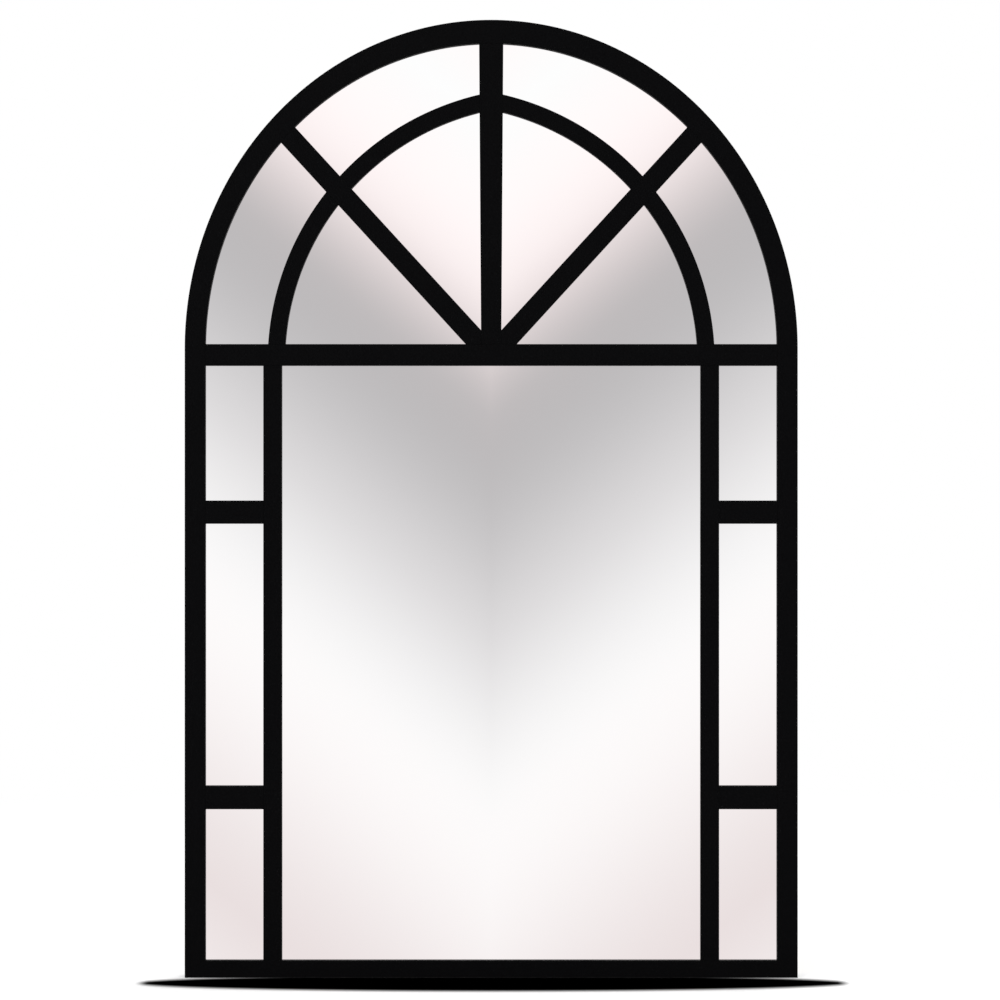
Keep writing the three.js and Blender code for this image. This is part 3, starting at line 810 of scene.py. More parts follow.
def weld_bead(name, start, end, radius):
    """A stitch of weld under the coat: overlapping ripples that taper off at both ends."""
    start, end = Vector(start), Vector(end)
    span = (end - start).length
    sides, fewest_steps, steps_per_ripple = 12, 12, 5
    ripple_height, blunt_end, fullness = 0.12, 0.15, 6
    steps = max(fewest_steps, round(steps_per_ripple * span / RIPPLE))
    turns = [math.tau * i / sides for i in range(sides)]
    rings = []
    for step in range(steps + 1):
        along = span * step / steps
        taper = math.sqrt(max(0.0, 1 - abs(2 * step / steps - 1) ** fullness))
        swell = 1 - ripple_height + ripple_height * abs(math.cos(math.pi * along / RIPPLE))
        size = radius * max(blunt_end, taper) * swell
        rings.append([(size * math.cos(turn), size * math.sin(turn), along) for turn in turns])
    mesh = mesh_of(name, loft(rings), [finish(black_powder_coated_steel)])
    turned = (end - start).to_track_quat("Z", "Y").to_matrix().to_4x4()
    add_piece(name, mesh, Matrix.Translation(start) @ turned)


class ARCHED_MIRROR_OT_outer_frame(bpy.types.Operator):
    """Builds the rim: arch, side rails and bottom rail, with the welds behind their joints"""

    bl_idname = "arched_mirror.outer_frame"
    bl_label = "Outer frame"

    def execute(self, context):
        outer, sizes = settings().outer, worked_out()
        coat = [finish(black_powder_coated_steel)]
        skins = {
            "rim_arch": rim_arch_skin(),
            "bottom_rail": bottom_rail_skin(),
            "left_side_rail": side_rail_skin(-1),
            "right_side_rail": side_rail_skin(1),
        }
        for node, skin in skins.items():
            add_piece(f"{node}_steel", mesh_of(node, skin, coat), stands_for=[node])
        # The welds run up the inner side of the return, from behind the board to short of the wall.
        middle = outer.depth / 2
        behind_board, before_wall, into_corner = 2 * MILLIMETRE, 1.5 * MILLIMETRE, 0.5 * MILLIMETRE
        ends = [sizes.board_back + behind_board - middle, middle - before_wall]
        for name, side in SIDES:
            x = side * sizes.wall_half
            weld_bead(f"{name}_springing_weld", *((x, y, outer.springing) for y in ends), RIM_BEAD)
            x = side * (sizes.wall_half - into_corner)
            weld_bead(f"{name}_mitre_weld", *((x, y, outer.return_thickness) for y in ends), RIM_BEAD)
        return {"FINISHED"}


# ---------------------------------------------------------------------------
# Window bars
# ---------------------------------------------------------------------------


def opening():
    """The clear opening inside the face of the rim."""
    sizes = worked_out()
    return arched_outline(sizes.opening_half, settings().outer.bottom_face, sizes.opening_rise)


def add_bar(node, outline):
    """A flat steel bar, drawn as the outline of what shows once it is welded in."""
    outer = settings().outer
    skin = plate_skin(outline, 0, outer.face_thickness, outer.arris)
    mesh = mesh_of(node, skin, [finish(black_powder_coated_steel)])
    add_piece(f"{node}_steel", mesh, stands_for=[node])


class ARCHED_MIRROR_OT_straight_bars(bpy.types.Operator):
    """Builds the transom, the two stiles and the four cross bars"""

    bl_idname = "arched_mirror.straight_bars"
    bl_label = "Transom, stiles and cross bars"

    def execute(self, context):
        outer, bars, sizes = settings().outer, settings().bars, worked_out()
        field = opening()
        transom = rectangle(-sizes.half_width, sizes.half_width, sizes.transom_bottom, sizes.transom_top)
        add_bar("transom_bar", within(transom, field))
        stile_inner = sizes.stile_outer - bars.stile
        stile = rectangle(stile_inner, sizes.stile_outer, 0, outer.springing)
        stile = within(sawn(stile, Vector((0, sizes.transom_bottom)), Vector((0, -1))), field)
        feet = {
            "lower": outer.bottom_face + bars.lower_light,
            "upper": sizes.transom_bottom - bars.upper_light - bars.cross_bar,
        }
        for name, side in SIDES:
            add_bar(f"{name}_stile", on_side(stile, side))
            for level, foot in feet.items():
                cross_bar = rectangle(0, sizes.half_width, foot, foot + bars.cross_bar)
                cross_bar = sawn(cross_bar, Vector((sizes.stile_outer, 0)), Vector((1, 0)))
                add_bar(f"{name}_{level}_cross_bar", on_side(within(cross_bar, field), side))
        return {"FINISHED"}


def centre_spoke_outline():
    """It tapers from the crown to the hub."""
    outer, bars, sizes = settings().outer, settings().bars, worked_out()
    hub, crown = bars.centre_spoke_hub / 2, bars.centre_spoke_crown / 2
    top = outer.overall_height
    return free_outline([(-hub, sizes.transom_top), (hub, sizes.transom_top), (crown, top), (-crown, top)])


def side_spoke_outline():
    """A band through the hub, on the right-hand side."""
    bars, sizes = settings().bars, worked_out()
    hub = Vector((0, sizes.hub))
    along = Vector((math.cos(bars.side_spoke_angle), math.sin(bars.side_spoke_angle)))
    across = inward(along) * bars.side_spoke / 2
    reach = along * settings().outer.overall_width
    low, high = hub - across, hub + across
    return free_outline([low - reach, low + reach, high + reach, high - reach])


def muntin_arch_outline(steps=96):
    """The right-hand arc of the smaller arch, from under the transom to past the centre spoke."""
    bars, sizes = settings().bars, worked_out()
    centre = (-sizes.muntin_offset, sizes.muntin_centre)
    inner = sizes.muntin_radius - bars.muntin
    past_the_spoke = math.radians(86)
    outside = arc(centre, (sizes.muntin_radius,) * 2, 0, past_the_spoke, steps)
    inside = arc(centre, (inner,) * 2, past_the_spoke, 0, steps)
    return free_outline(outside + inside)


class ARCHED_MIRROR_OT_fan(bpy.types.Operator):
    """Builds the three spokes and the four lengths of the smaller arch, each cut to what it meets"""

    bl_idname = "arched_mirror.fan"
    bl_label = "Spokes and muntin arch"

    def execute(self, context):
        bars, sizes = settings().bars, worked_out()
        field = opening()
        above = (Vector((0, sizes.transom_top)), Vector((0, 1)))
        centre = centre_spoke_outline()
        add_bar("centre_spoke", within(sawn(centre, *above), field))
        spoke_foot, spoke_head = centre[1][0], centre[2][0]
        beside = (spoke_foot, -inward(spoke_head - spoke_foot))

        hub = Vector((0, sizes.hub))
        spoke_up = inward(Vector((math.cos(bars.side_spoke_angle), math.sin(bars.side_spoke_angle))))
        edge = spoke_up * bars.side_spoke / 2
        spoke = within(sawn(sawn(side_spoke_outline(), *above), *beside), field)
        arch = sawn(sawn(muntin_arch_outline(), *above), *beside)
        lower_arch = sawn(arch, hub - edge, -spoke_up)
        upper_arch = sawn(arch, hub + edge, spoke_up)
        for name, side in SIDES:
            add_bar(f"{name}_spoke", on_side(spoke, side))
            add_bar(f"{name}_lower_muntin_arch", on_side(lower_arch, side))
            add_bar(f"{name}_upper_muntin_arch", on_side(upper_arch, side))
        return {"FINISHED"}


# ---------------------------------------------------------------------------
# Glass, board and setting blocks
# ---------------------------------------------------------------------------


def sheet_outline():
    """The outline that the glass and the board share."""
    outer, sheets, sizes = settings().outer, settings().sheets, worked_out()
    gap = sheets.clearance
    return arched_outline(sizes.wall_half - gap, outer.return_thickness + gap, sizes.wall_rise - gap)


def add_sheet(name, node, depths, arris, edge, back, front):
    """A flat arched sheet with one finish round its edge and others on its two sides."""
    mesh = mesh_of(name, plate_skin(sheet_outline(), *depths, arris), [edge, back, front])
    mesh.polygons[-2].material_index = 1
    mesh.polygons[-1].material_index = 2
    add_piece(name, mesh, stands_for=[node])


class ARCHED_MIRROR_OT_glass(bpy.types.Operator):
    """Builds the mirror glass, silvered and painted on its back, with a ground edge"""

    bl_idname = "arched_mirror.glass"
    bl_label = "Mirror glass"

    def execute(self, context):
        sizes = worked_out()
        add_sheet(
            "silvered_glass_sheet",
            "mirror_glass",
            (sizes.glass_front, sizes.glass_back),
            settings().sheets.glass_arris,
            finish(ground_glass_edge),
            finish(mirror_backing_paint),
            finish(silvered_float_glass),
        )
        return {"FINISHED"}


class ARCHED_MIRROR_OT_backing_board(bpy.types.Operator):
    """Builds the fibreboard behind the glass"""

    bl_idname = "arched_mirror.backing_board"
    bl_label = "Backing board"

    def execute(self, context):
        sizes = worked_out()
        sanded = finish(pressed_fibreboard)
        add_sheet(
            "fibreboard_back",
            "backing_board",
            (sizes.board_front, sizes.board_back),
            settings().sheets.board_arris,
            finish(sawn_fibreboard_edge),
            sanded,
            sanded,
        )
        return {"FINISHED"}


def grooved_block_skin(long, thick, deep):
    """A strip of rubber along x, cut square, with three grooves along its top and its underside."""
    grooves = 3
    pitch = deep / (2 * grooves + 1)
    face, floor = thick / 2, thick / 2 - settings().sheets.block_groove
    corner, groove_corner = 0.3 * MILLIMETRE, 0.1 * MILLIMETRE
    top = [(-deep / 2, face, corner)]
    for i in range(grooves):
        start = -deep / 2 + pitch * (1.5 + 2 * i)
        top += [
            (start - pitch / 4, face, groove_corner),
            (start, floor, groove_corner),
            (start + pitch / 2, floor, groove_corner),
            (start + 3 * pitch / 4, face, groove_corner),
        ]
    top.append((deep / 2, face, corner))
    underside = [(-across, -up, radius) for across, up, radius in top]
    section = rounded(top + underside, 2)
    # The cut ends are rubbed a little smaller.
    end, rubbed = long / 2, 0.9
    rings = []
    for x, grown in ((-end, rubbed), (corner - end, 1), (end - corner, 1), (end, rubbed)):
        rings.append([(x, across * grown, up * grown) for across, up in section])
    return loft(rings)


class ARCHED_MIRROR_OT_setting_blocks(bpy.types.Operator):
    """Builds the two rubber blocks that carry the lower edge of the glass and the board"""

    bl_idname = "arched_mirror.setting_blocks"
    bl_label = "Setting blocks"

    def execute(self, context):
        outer, sheets, sizes = settings().outer, settings().sheets, worked_out()
        thick = sheets.clearance - 2 * sheets.seat
        deep = sizes.board_back - sizes.glass_front
        skin = grooved_block_skin(sheets.block_length, thick, deep)
        mesh = mesh_of("setting_block", skin, [finish(extruded_rubber)])
        x = (sizes.wall_half - sheets.clearance) / 2
        y = (sizes.board_back + sizes.glass_front) / 2 - outer.depth / 2
        z = outer.return_thickness + sheets.clearance / 2
        for name, side in SIDES:
            place = Matrix.Translation((side * x, y, z))
            add_piece(f"{name}_rubber_block", mesh, place, stands_for=[f"{name}_setting_block"])
        return {"FINISHED"}


# ---------------------------------------------------------------------------
# Folded strips and screws
# ---------------------------------------------------------------------------


def strip_skin(tip, along, corner, rest, width, thickness, steps=8):
    """A strip of steel from a tip with rounded corners, straight along and then by the rest of its path."""
    path, halves = [], []
    for step in range(steps + 1):
        turn = QUARTER * step / steps
        path.append(Vector(tip) + corner * (1 - math.cos(turn)) * Vector(along))
        halves.append(width / 2 - corner * (1 - math.sin(turn)))
    path += [Vector(point) for point in rest]
    halves += [width / 2] * len(rest)
    half = thickness / 2
    sections = [[(-half, -across), (half, -across), (half, across), (-half, across)] for across in halves]
    return loft(sweep(path, sections))


def folded_strip_mesh(name, reach, height, thickness, bend, long, tip):
    """A foot on the board and a leg against the return: inwards, rearwards and along the rim."""
    seat = settings().sheets.seat
    middle = seat + thickness / 2
    turn_at = seat + thickness + bend
    fold = arc((turn_at, turn_at), (bend + thickness / 2,) * 2, -QUARTER, -math.pi, 8)
    skin = strip_skin((reach, middle), (-1, 0), tip, [*fold, (middle, height)], long, thickness)
    return shaped(mesh_of(name, skin, [finish(black_powder_coated_steel)]), eased(0.3 * MILLIMETRE))


def thread_wave(share):
    """Height of a rolled thread over one pitch: 0 along its narrow root and 1 along its narrower crest."""
    steepness, root = 1.35, 0.2
    rise = 1 - abs(2 * (share % 1.0) - 1)
    return min(1.0, max(0.0, steepness * rise - root))


def screw_skin(screw, sides=32):
    """Thread, pan head and point about the rearward axis, seated at zero."""
    rows_per_pitch, edge = 8, 0.15 * MILLIMETRE
    shank = []
    rows = round(rows_per_pitch * screw.length / screw.pitch)
    for row in range(rows):
        height = -screw.length + screw.length * row / rows
        into_tip = min(1.0, (height + screw.length) / screw.tip_length)
        shank.append((screw.tip_radius + (screw.crest_radius - screw.tip_radius) * into_tip, height))
    flat_top, dome_height = 0.05 * screw.head_radius, screw.head_height - screw.head_edge
    dome = arc((0, screw.head_edge), (screw.head_radius, dome_height), 0, QUARTER, 12)
    head = [(screw.root_radius, 0), (screw.head_radius - edge, 0), (screw.head_radius, edge)]
    head += [*dome[:-1], (flat_top, screw.head_height)]
    rings = []
    for i, (radius, height) in enumerate(shank + head):
        ring = []
        for side in range(sides):
            share = side / sides
            cut = 0.0
            if i < len(shank):
                thread = thread_wave(height / screw.pitch + share)
                cut = (screw.crest_radius - screw.root_radius) * (1 - thread) * radius / screw.crest_radius
            turn = math.tau * share
            ring.append(((radius - cut) * math.cos(turn), height, (radius - cut) * math.sin(turn)))
        rings.append(ring)
    return loft(rings)


def cross_recess_skin(screw):
    """The tapered cross that a driver fits, as the solid that is cut away."""
    # The arms grow shorter towards the floor of the cross, and narrow about half as fast.
    slot, above = 0.24 * screw.recess_reach, 0.3 * MILLIMETRE
    shoulder, floor = -0.45 * screw.recess_depth, -screw.recess_depth
    rings = []
    for share, height in ((1.0, above), (0.92, shoulder), (0.42, floor)):
        reach, half = screw.recess_reach * share, slot * (0.55 + 0.45 * share)
        arms = []
        for quarter in range(4):
            turn = Matrix.Rotation(quarter * QUARTER, 2)
            arms += [turn @ Vector(corner) for corner in ((reach, -half), (reach, half), (half, half))]
        rings.append([(arm.x, screw.head_height + height, arm.y) for arm in arms])
    return loft(rings)


def screw_mesh(name, screw):
    """A pan-head screw with its thread and its cross recess."""
    sharp = math.radians(35)
    zinc = [finish(bright_zinc_plate)]
    cutter = bpy.data.objects.new("recess", mesh_of("recess", cross_recess_skin(screw), zinc))
    bpy.context.scene.collection.objects.link(cutter)
    cut = ("BOOLEAN", {"object": cutter, "operation": "DIFFERENCE", "solver": "EXACT"})
    joined = ("WELD", {"merge_threshold": 0.002 * MILLIMETRE})
    mesh = shaped(mesh_of(name, screw_skin(screw), zinc), cut, joined)
    bpy.data.objects.remove(cutter)
    mesh.set_sharp_from_angle(angle=sharp)
    return mesh


# ---------------------------------------------------------------------------
# Fixing tabs
# ---------------------------------------------------------------------------


def tab_places():
    """Where each tab stands on the inner side of the return, and the angle that points inwards."""
    outer, tabs, sizes = settings().outer, settings().tabs, worked_out()
    # On the arch a straight leg bridges the hollow of the return by this much.
    sag = (tabs.length / 2) ** 2 / (2 * sizes.wall_half)
    places = []
    for _, side in SIDES:
        inwards = 0 if side < 0 else math.pi
        places.append((side * tabs.bottom_offset, outer.return_thickness, QUARTER))
        places.append((side * sizes.wall_half, tabs.lower_height, inwards))
        places.append((side * sizes.wall_half, outer.springing - tabs.upper_drop, inwards))
        for turn in (tabs.arch_low, tabs.arch_high):
            across, up = math.cos(turn), math.sin(turn)
            inwards = math.atan2(-up / sizes.wall_rise, -side * across / sizes.wall_half)
            x = side * sizes.wall_half * across + sag * math.cos(inwards)
            z = outer.springing + sizes.wall_rise * up + sag * math.sin(inwards)
            places.append((x, z, inwards))
    return places


def placed_on_rim(x, z, inwards, depth):
    """Inwards, rearwards and along the rim, from a point on the return."""
    origin = Vector((x, depth - settings().outer.depth / 2, z))
    inner = Vector((math.cos(inwards), 0, math.sin(inwards)))
    return axes_at(origin, inner, REARWARDS, inner.cross(REARWARDS))


class ARCHED_MIRROR_OT_fixing_tabs(bpy.types.Operator):
    """Builds the ten folded tabs that hold the board down, with their screws and welds"""

    bl_idname = "arched_mirror.fixing_tabs"
    bl_label = "Fixing tabs"

    def execute(self, context):
        tabs, seat, sizes = settings().tabs, settings().sheets.seat, worked_out()
        tab_mesh = folded_strip_mesh(
            "fixing_tab", tabs.reach, tabs.height, tabs.thickness, tabs.bend, tabs.length, tabs.tip
        )
        screw = screw_mesh("tab_screw", settings().tab_screws)
        under_head = 2 * seat + tabs.thickness
        # A bead runs up each side of the leg, from the fold to short of its top. Screws stop at any angle.
        bead_in = seat + 0.4 * MILLIMETRE
        bead_heights = (tabs.thickness + tabs.bend, tabs.height - 0.5 * MILLIMETRE)
        turn_per_screw = 2.4
        for number, (x, z, inwards) in enumerate(tab_places(), 1):
            place = placed_on_rim(x, z, inwards, sizes.board_back)
            tab, tab_screw = f"fixing_tab_{number}", f"tab_screw_{number}"
            add_piece(f"{tab}_steel", tab_mesh, place, stands_for=[tab])
            driven = Matrix.Rotation(turn_per_screw * number, 4, "Y")
            seated = place @ Matrix.Translation((tabs.screw_inset, under_head, 0)) @ driven
            add_piece(f"{tab_screw}_zinc", screw, seated, stands_for=[tab_screw])
            for end, along in (("a", -tabs.length / 2), ("b", tabs.length / 2)):
                ends = [place @ Vector((bead_in, height, along)) for height in bead_heights]
                weld_bead(f"{tab}_weld_{end}", *ends, TAB_BEAD)
        return {"FINISHED"}


# ---------------------------------------------------------------------------
# Hangers
# ---------------------------------------------------------------------------


def strap_mesh():
    """A strip whose top is rolled round the ring's axis: rearwards from the plate, upwards and across."""
    hangers, seat, sizes = settings().hangers, settings().sheets.seat, worked_out()
    tail = (seat + hangers.strap_thickness / 2, -hangers.strap_length)
    eye = sizes.eye_radius - hangers.strap_thickness / 2
    roll = arc((seat + sizes.eye_radius, 0), (eye, eye), math.pi, -hangers.strap_mouth, 40)
    skin = strip_skin(tail, (0, 1), hangers.strap_tail, roll, hangers.strap_width, hangers.strap_thickness)
    return shaped(mesh_of("ring_strap", skin, [finish(bright_zinc_plate)]), eased(0.2 * MILLIMETRE))


def ring_path():
    """The centre line of the D-ring, from one side of its butt joint round to the other."""
    hangers = settings().hangers
    corner, half, gap = hangers.ring_corner, hangers.ring_half_width, hangers.butt_gap / 2
    straight = half - corner
    bowl = hangers.ring_drop - half
    # The wire leaves its butt joint square.
    square = gap + 0.2 * MILLIMETRE
    path = [(gap, 0), (square, 0)]
    path += arc((straight, -corner), (corner, corner), QUARTER, 0, 10)
    path += arc((0, -bowl), (half, half), 0, -math.pi, 64)
    path += arc((-straight, -corner), (corner, corner), math.pi, QUARTER, 10)
    path += [(-square, 0), (-gap, 0)]
    return [Vector(point) for point in path]


def ring_mesh(sides=20):
    """Round wire bent to a D."""
    wire = settings().hangers.wire_radius
    turns = [math.tau * i / sides for i in range(sides)]
    section = [(wire * math.cos(turn), wire * math.sin(turn)) for turn in turns]
    path = ring_path()
    return mesh_of("d_ring", loft(sweep(path, [section] * len(path))), [finish(bright_zinc_plate)])


class ARCHED_MIRROR_OT_hangers(bpy.types.Operator):
    """Builds the hanger plates, the ring straps and the screws that hold them"""

    bl_idname = "arched_mirror.hangers"
    bl_label = "Hanger plates and straps"

    def execute(self, context):
        outer, hangers, sizes = settings().outer, settings().hangers, worked_out()
        seat = settings().sheets.seat
        plate = folded_strip_mesh(
            "hanger_plate",
            hangers.plate_reach,
            hangers.plate_height,
            hangers.plate_thickness,
            hangers.plate_bend,
            hangers.plate_length,
            hangers.plate_tip,
        )
        strap = strap_mesh()
        screw = screw_mesh("strap_screw", settings().strap_screws)
        plate_z = sizes.ring_axis + hangers.ring_axis_below_top - hangers.plate_length / 2
        # Two stitches of weld run along the top of the leg. Screws stop at any angle.
        stitch, stitch_offset = 16 * MILLIMETRE, 0.28 * hangers.plate_length
        stitch_in, stitch_height = 0.5 * MILLIMETRE, hangers.plate_height + 0.2 * MILLIMETRE
        under_head = 2 * seat + hangers.strap_thickness
        turn_per_screw = 1.1
        for name, side in SIDES:
            inwards = 0 if side < 0 else math.pi
            place = placed_on_rim(side * sizes.wall_half, plate_z, inwards, sizes.board_back)
            node = f"{name}_hanger_plate"
            add_piece(f"{node}_steel", plate, place, stands_for=[node])
            for end, middle in (("a", -stitch_offset), ("b", stitch_offset)):
                runs = (middle - stitch / 2, middle + stitch / 2)
                ends = [place @ Vector((stitch_in, stitch_height, run)) for run in runs]
                weld_bead(f"{node}_weld_{end}", *ends, RIM_BEAD)

            on_plate = Vector((side * sizes.hanger_x, sizes.plate_face - outer.depth / 2, sizes.ring_axis))
            strap_place = axes_at(on_plate, REARWARDS, UPWARDS, ACROSS)
            node = f"{name}_ring_strap"
            add_piece(f"{node}_zinc", strap, strap_place, stands_for=[node])
            for number, drop in enumerate((hangers.upper_screw, hangers.lower_screw), 1):
                seated = Matrix.Translation(on_plate + Vector((0, under_head, -drop)))
                driven = Matrix.Rotation(turn_per_screw * number + side, 4, "Y")
                node = f"{name}_strap_screw_{number}"
                add_piece(f"{node}_zinc", screw, seated @ driven, stands_for=[node])
        return {"FINISHED"}


class ARCHED_MIRROR_OT_d_rings(bpy.types.Operator):
    """Builds the two D-rings, which swing in the eyes of the straps"""

    bl_idname = "arched_mirror.d_rings"
    bl_label = "D-rings"

    def execute(self, context):
        sizes = worked_out()
        mesh = ring_mesh()
        y = sizes.ring_depth - settings().outer.depth / 2
        for name, side in SIDES:
            origin = Vector((side * sizes.hanger_x, y, sizes.ring_axis))
            place = axes_at(origin, ACROSS, UPWARDS, FORWARDS)
            node = f"{name}_d_ring"
            add_piece(f"{node}_wire", mesh, place, f"{name}_ring", [node])
        return {"FINISHED"}


# ---------------------------------------------------------------------------
# Stage
# ---------------------------------------------------------------------------


def painted_pool_of_shadow(tree, place):
    """1 in the painted pool of shadow at the foot of the mirror and 0 outside it: a blurred ellipse."""
    stage, outer = settings().stage, settings().outer
    blur = stage.shadow_softness / 2
    middle = -outer.depth / 2 - stage.shadow_forward
    at = add_node(tree, "SeparateXYZ", {"Vector": place}).outputs
    off_side = add_node(tree, "Math", {0: at["X"], 1: stage.shadow_side}, operation="SUBTRACT")
    share = add_node(tree, "Math", {0: off_side, 1: stage.shadow_half_width}, operation="DIVIDE")
    square = add_node(tree, "Math", {0: share, 1: 2.0}, operation="POWER")
    rest = add_node(tree, "Math", {0: 1.0, 1: square}, operation="SUBTRACT", use_clamp=True)
    chord = add_node(tree, "Math", {0: rest}, operation="SQRT")
    off = add_node(tree, "Math", {0: at["Y"], 1: middle}, operation="SUBTRACT")
    off_middle = add_node(tree, "Math", {0: off}, operation="ABSOLUTE")
    beyond = add_node(tree, "Math", {
        0: chord, 1: -stage.shadow_half_depth, 2: off_middle,
    }, operation="MULTIPLY_ADD")
    across = add_node(tree, "MapRange", {
        "Value": beyond, "From Min": -blur, "From Max": blur, "To Min": 1.0, "To Max": 0.0,
    }, interpolation_type="SMOOTHSTEP")
    # The tips end in short points.
    tip_start, tip_end = 0.96, 1.008
    towards_tip = add_node(tree, "Math", {0: share}, operation="ABSOLUTE")
    tips = add_node(tree, "MapRange", {
        "Value": towards_tip, "From Min": tip_start, "From Max": tip_end, "To Min": 1.0, "To Max": 0.0,
    }, interpolation_type="SMOOTHSTEP")
    return add_node(tree, "Math", {0: across, 1: tips}, operation="MULTIPLY")


def white_floor(tree, shader, place, colours):
    """Matt white studio paper with a painted pool of shadow at the foot of the mirror."""
    radius, lift_strength = settings().stage.floor_radius, 0.35
    seen = add_node(tree, "LightPath").outputs["Is Camera Ray"]
    pool = painted_pool_of_shadow(tree, place)
    # The painted shadow darkens the paper's colour to black and takes away its glow.
    lit = add_node(tree, "Math", {0: 1.0, 1: pool}, operation="SUBTRACT")
    stops = [(0.0, linear("#000000")), (1.0, linear("#EDEDED"))]
    paper = add_node(tree, "ValToRGB", {"Fac": lit}, stops)
    matt = add_node(tree, "BsdfDiffuse", {"Color": paper})
    seen_lit = add_node(tree, "Math", {0: seen, 1: lit}, operation="MULTIPLY")
    lift = add_node(tree, "Math", {0: seen_lit, 1: lift_strength}, operation="MULTIPLY")
    glow = add_node(tree, "Emission", {"Strength": lift})
    near = add_node(tree, "AddShader", {0: matt, 1: glow})

    # Far from the mirror the floor fades into the white behind it.
    distance = add_node(tree, "VectorMath", {0: place}, operation="LENGTH").outputs["Value"]
    fade = add_node(tree, "MapRange", {
        "Value": distance, "From Min": 0.35 * radius, "From Max": 0.8 * radius,
    }, interpolation_type="SMOOTHSTEP")
    far = add_node(tree, "Math", {0: fade, 1: seen}, operation="MULTIPLY")
    white = add_node(tree, "Emission")
    surface = add_node(tree, "MixShader", {0: far, 1: near, 2: white})
    set_inputs(tree, tree.nodes["Material Output"], {"Surface": surface})
    tree.nodes.remove(shader)


def room_bands(tree):
    """The room that the mirror reflects: a soft grey band between two pale ones, sloping to both sides.

    The bands are drawn where a direction shows on the glass from the front, and they follow each other all
    round, so that the mirror shows some of them from every side.
    """
    stage, sizes = settings().stage, worked_out()
    reach = stage.camera_distance + sizes.glass_front
    # Heights on the glass, in metres, at its middle. Beside it the bands are lower by the slope.
    slope = 0.84
    lowest, highest = -0.158, 0.983
    stops = [
        (lowest, "#E9DFDF"),
        (0.177, "#FCFAFA"),
        (0.393, "#DDDBDC"),
        (0.645, "#BFBBBC"),
        (0.794, "#F9EFEF"),
        (highest, "#FDFDFD"),
    ]
    direction = add_node(tree, "TexCoord").outputs["Generated"]
    towards = add_node(tree, "SeparateXYZ", {"Vector": direction}).outputs
    ahead = add_node(tree, "Math", {0: towards["Y"], 1: -1.0}, operation="MULTIPLY")
    turn = add_node(tree, "Math", {0: towards["X"], 1: ahead}, operation="ARCTAN2")
    rise = add_node(tree, "Math", {0: towards["Z"]}, operation="ARCSINE")
    side, up = stage.camera_side, stage.camera_height
    x = add_node(tree, "Math", {0: turn, 1: reach, 2: side}, operation="MULTIPLY_ADD")
    aside = add_node(tree, "Math", {0: x}, operation="ABSOLUTE")
    z = add_node(tree, "Math", {0: rise, 1: reach, 2: up}, operation="MULTIPLY_ADD")
    height = add_node(tree, "Math", {0: aside, 1: -slope, 2: z}, operation="MULTIPLY_ADD")
    share = add_node(tree, "MapRange", {
        "Value": height, "From Min": lowest, "From Max": highest,
    }, clamp=False)
    repeated = add_node(tree, "Math", {0: share, 1: 1.0}, operation="PINGPONG")
    placed = [((at - lowest) / (highest - lowest), linear(tone)) for at, tone in stops]
    bands = add_node(tree, "ValToRGB", {"Fac": repeated}, placed)
    bands.color_ramp.interpolation = "CARDINAL"
    return bands


def surroundings(tree):
    """White behind the mirror, an even light all round, and the room that the mirror reflects."""
    room_strength, even_strength, white_strength = 1.04, 0.6, 1.0
    rays = add_node(tree, "LightPath").outputs
    glossy, through, seen = (rays[f"Is {kind} Ray"] for kind in ("Glossy", "Transmission", "Camera"))
    mirrored_ray = add_node(tree, "Math", {0: glossy, 1: through}, operation="MAXIMUM")
    tone = (*linear("#FFFFFF"), 1.0)
    room = add_node(tree, "Background", {"Color": room_bands(tree), "Strength": room_strength})
    even = add_node(tree, "Background", {"Color": tone, "Strength": even_strength})
    white = add_node(tree, "Background", {"Color": tone, "Strength": white_strength})
    unseen = add_node(tree, "MixShader", {0: mirrored_ray, 1: even, 2: room})
    surface = add_node(tree, "MixShader", {0: seen, 1: unseen, 2: white})
    set_inputs(tree, tree.nodes["World Output"], {"Surface": surface})


def add_floor():
    """A round floor level with the base, seen directly but not in the mirror."""
    stage = settings().stage
    sides = 96
    rim = [(*point, 0.0) for point in arc((0, 0), (stage.floor_radius,) * 2, 0, math.tau, sides)[:-1]]
    mesh = bpy.data.meshes.new("floor")
    mesh.from_pydata(rim, [], [tuple(range(sides))])
    mesh.materials.append(finish(white_floor))
    floor = bpy.data.objects.new("floor", mesh)
    bpy.context.scene.collection.objects.link(floor)
    floor.visible_glossy = False
    floor.visible_transmission = False


# Each lamp's name, its place and size in metres, and its watts.
LAMPS = (
    ("key_lamp", (-2.1, -2.6, 3.0), 1.6, 42),
    ("fill_lamp", (2.6, -2.2, 2.4), 1.8, 22),
    ("back_lamp", (1.4, 2.8, 3.0), 1.8, 46),
)


def add_lamp(name, place, towards, size, watts):
    """A square soft box that faces a point."""
    lamp = bpy.data.lights.new(name, "AREA")
    lamp.size = size
    lamp.energy = watts
    holder = bpy.data.objects.new(name, lamp)
    bpy.context.scene.collection.objects.link(holder)
    holder.location = place
    holder.rotation_euler = (Vector(towards) - Vector(place)).to_track_quat("-Z", "Y").to_euler()


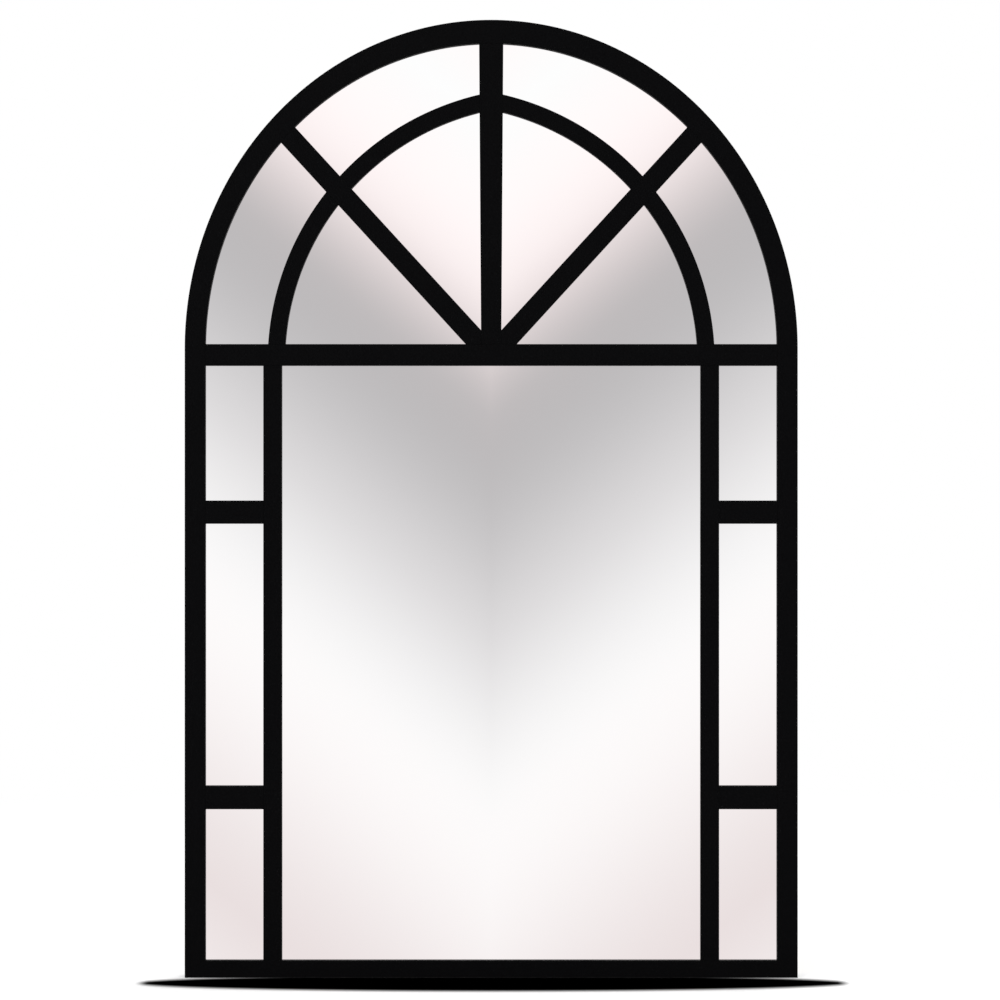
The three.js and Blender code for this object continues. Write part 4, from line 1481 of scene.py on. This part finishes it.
class ARCHED_MIRROR_OT_stage(bpy.types.Operator):
    """Adds the camera, the lamps, the surroundings and the floor"""

    bl_idname = "arched_mirror.stage"
    bl_label = "Stage"

    def execute(self, context):
        stage, outer = settings().stage, settings().outer
        scene = context.scene
        scene.view_settings.view_transform = "Standard"
        world = bpy.data.worlds.new("studio")
        world.use_nodes = True
        surroundings(world.node_tree)
        scene.world = world
        add_floor()
        middle = (0, 0, outer.overall_height / 2)
        for name, place, size, watts in LAMPS:
            add_lamp(name, place, middle, size, watts)

        lens = bpy.data.cameras.new("camera")
        lens.lens = lens.sensor_width * stage.camera_distance / stage.view_width
        lens.clip_end = 50
        camera = bpy.data.objects.new("camera", lens)
        scene.collection.objects.link(camera)
        camera.location = (stage.camera_side, -outer.depth / 2 - stage.camera_distance, stage.camera_height)
        camera.rotation_euler = (QUARTER, 0, 0)
        scene.camera = camera
        return {"FINISHED"}


# ---------------------------------------------------------------------------
# Add-on
# ---------------------------------------------------------------------------

SETTING_GROUPS = (
    OuterFrameSizes,
    WindowBarSizes,
    SheetSizes,
    FixingTabSizes,
    TabScrewSizes,
    StrapScrewSizes,
    HangerSizes,
    Finishes,
    StageSettings,
    ArchedMirrorSettings,
)
OPERATORS = (
    ARCHED_MIRROR_OT_stage,
    ARCHED_MIRROR_OT_outer_frame,
    ARCHED_MIRROR_OT_straight_bars,
    ARCHED_MIRROR_OT_fan,
    ARCHED_MIRROR_OT_glass,
    ARCHED_MIRROR_OT_backing_board,
    ARCHED_MIRROR_OT_setting_blocks,
    ARCHED_MIRROR_OT_fixing_tabs,
    ARCHED_MIRROR_OT_hangers,
    ARCHED_MIRROR_OT_d_rings,
)


class ARCHED_MIRROR_PT_sidebar(bpy.types.Panel):
    """Lists the pieces and their sizes"""

    bl_idname = "ARCHED_MIRROR_PT_sidebar"
    bl_label = "Arched window mirror"
    bl_space_type = "VIEW_3D"
    bl_region_type = "UI"
    bl_category = "Arched Mirror"

    def draw(self, context):
        for operator in OPERATORS:
            self.layout.operator(operator.bl_idname)
        for part in ArchedMirrorSettings.__annotations__:
            group = getattr(context.scene.arched_mirror, part)
            box = self.layout.box()
            box.label(text=part.replace("_", " ").capitalize())
            for name in group.__annotations__:
                box.prop(group, name)


CLASSES = (*SETTING_GROUPS, *OPERATORS, ARCHED_MIRROR_PT_sidebar)


def register():
    for group in CLASSES:
        bpy.utils.register_class(group)
    bpy.types.Scene.arched_mirror = PointerProperty(type=ArchedMirrorSettings)


def unregister():
    del bpy.types.Scene.arched_mirror
    for group in reversed(CLASSES):
        bpy.utils.unregister_class(group)


def main():
    register()
    for operator in OPERATORS:
        family, name = operator.bl_idname.split(".")
        getattr(getattr(bpy.ops, family), name)()


if __name__ == "__main__":
    main()
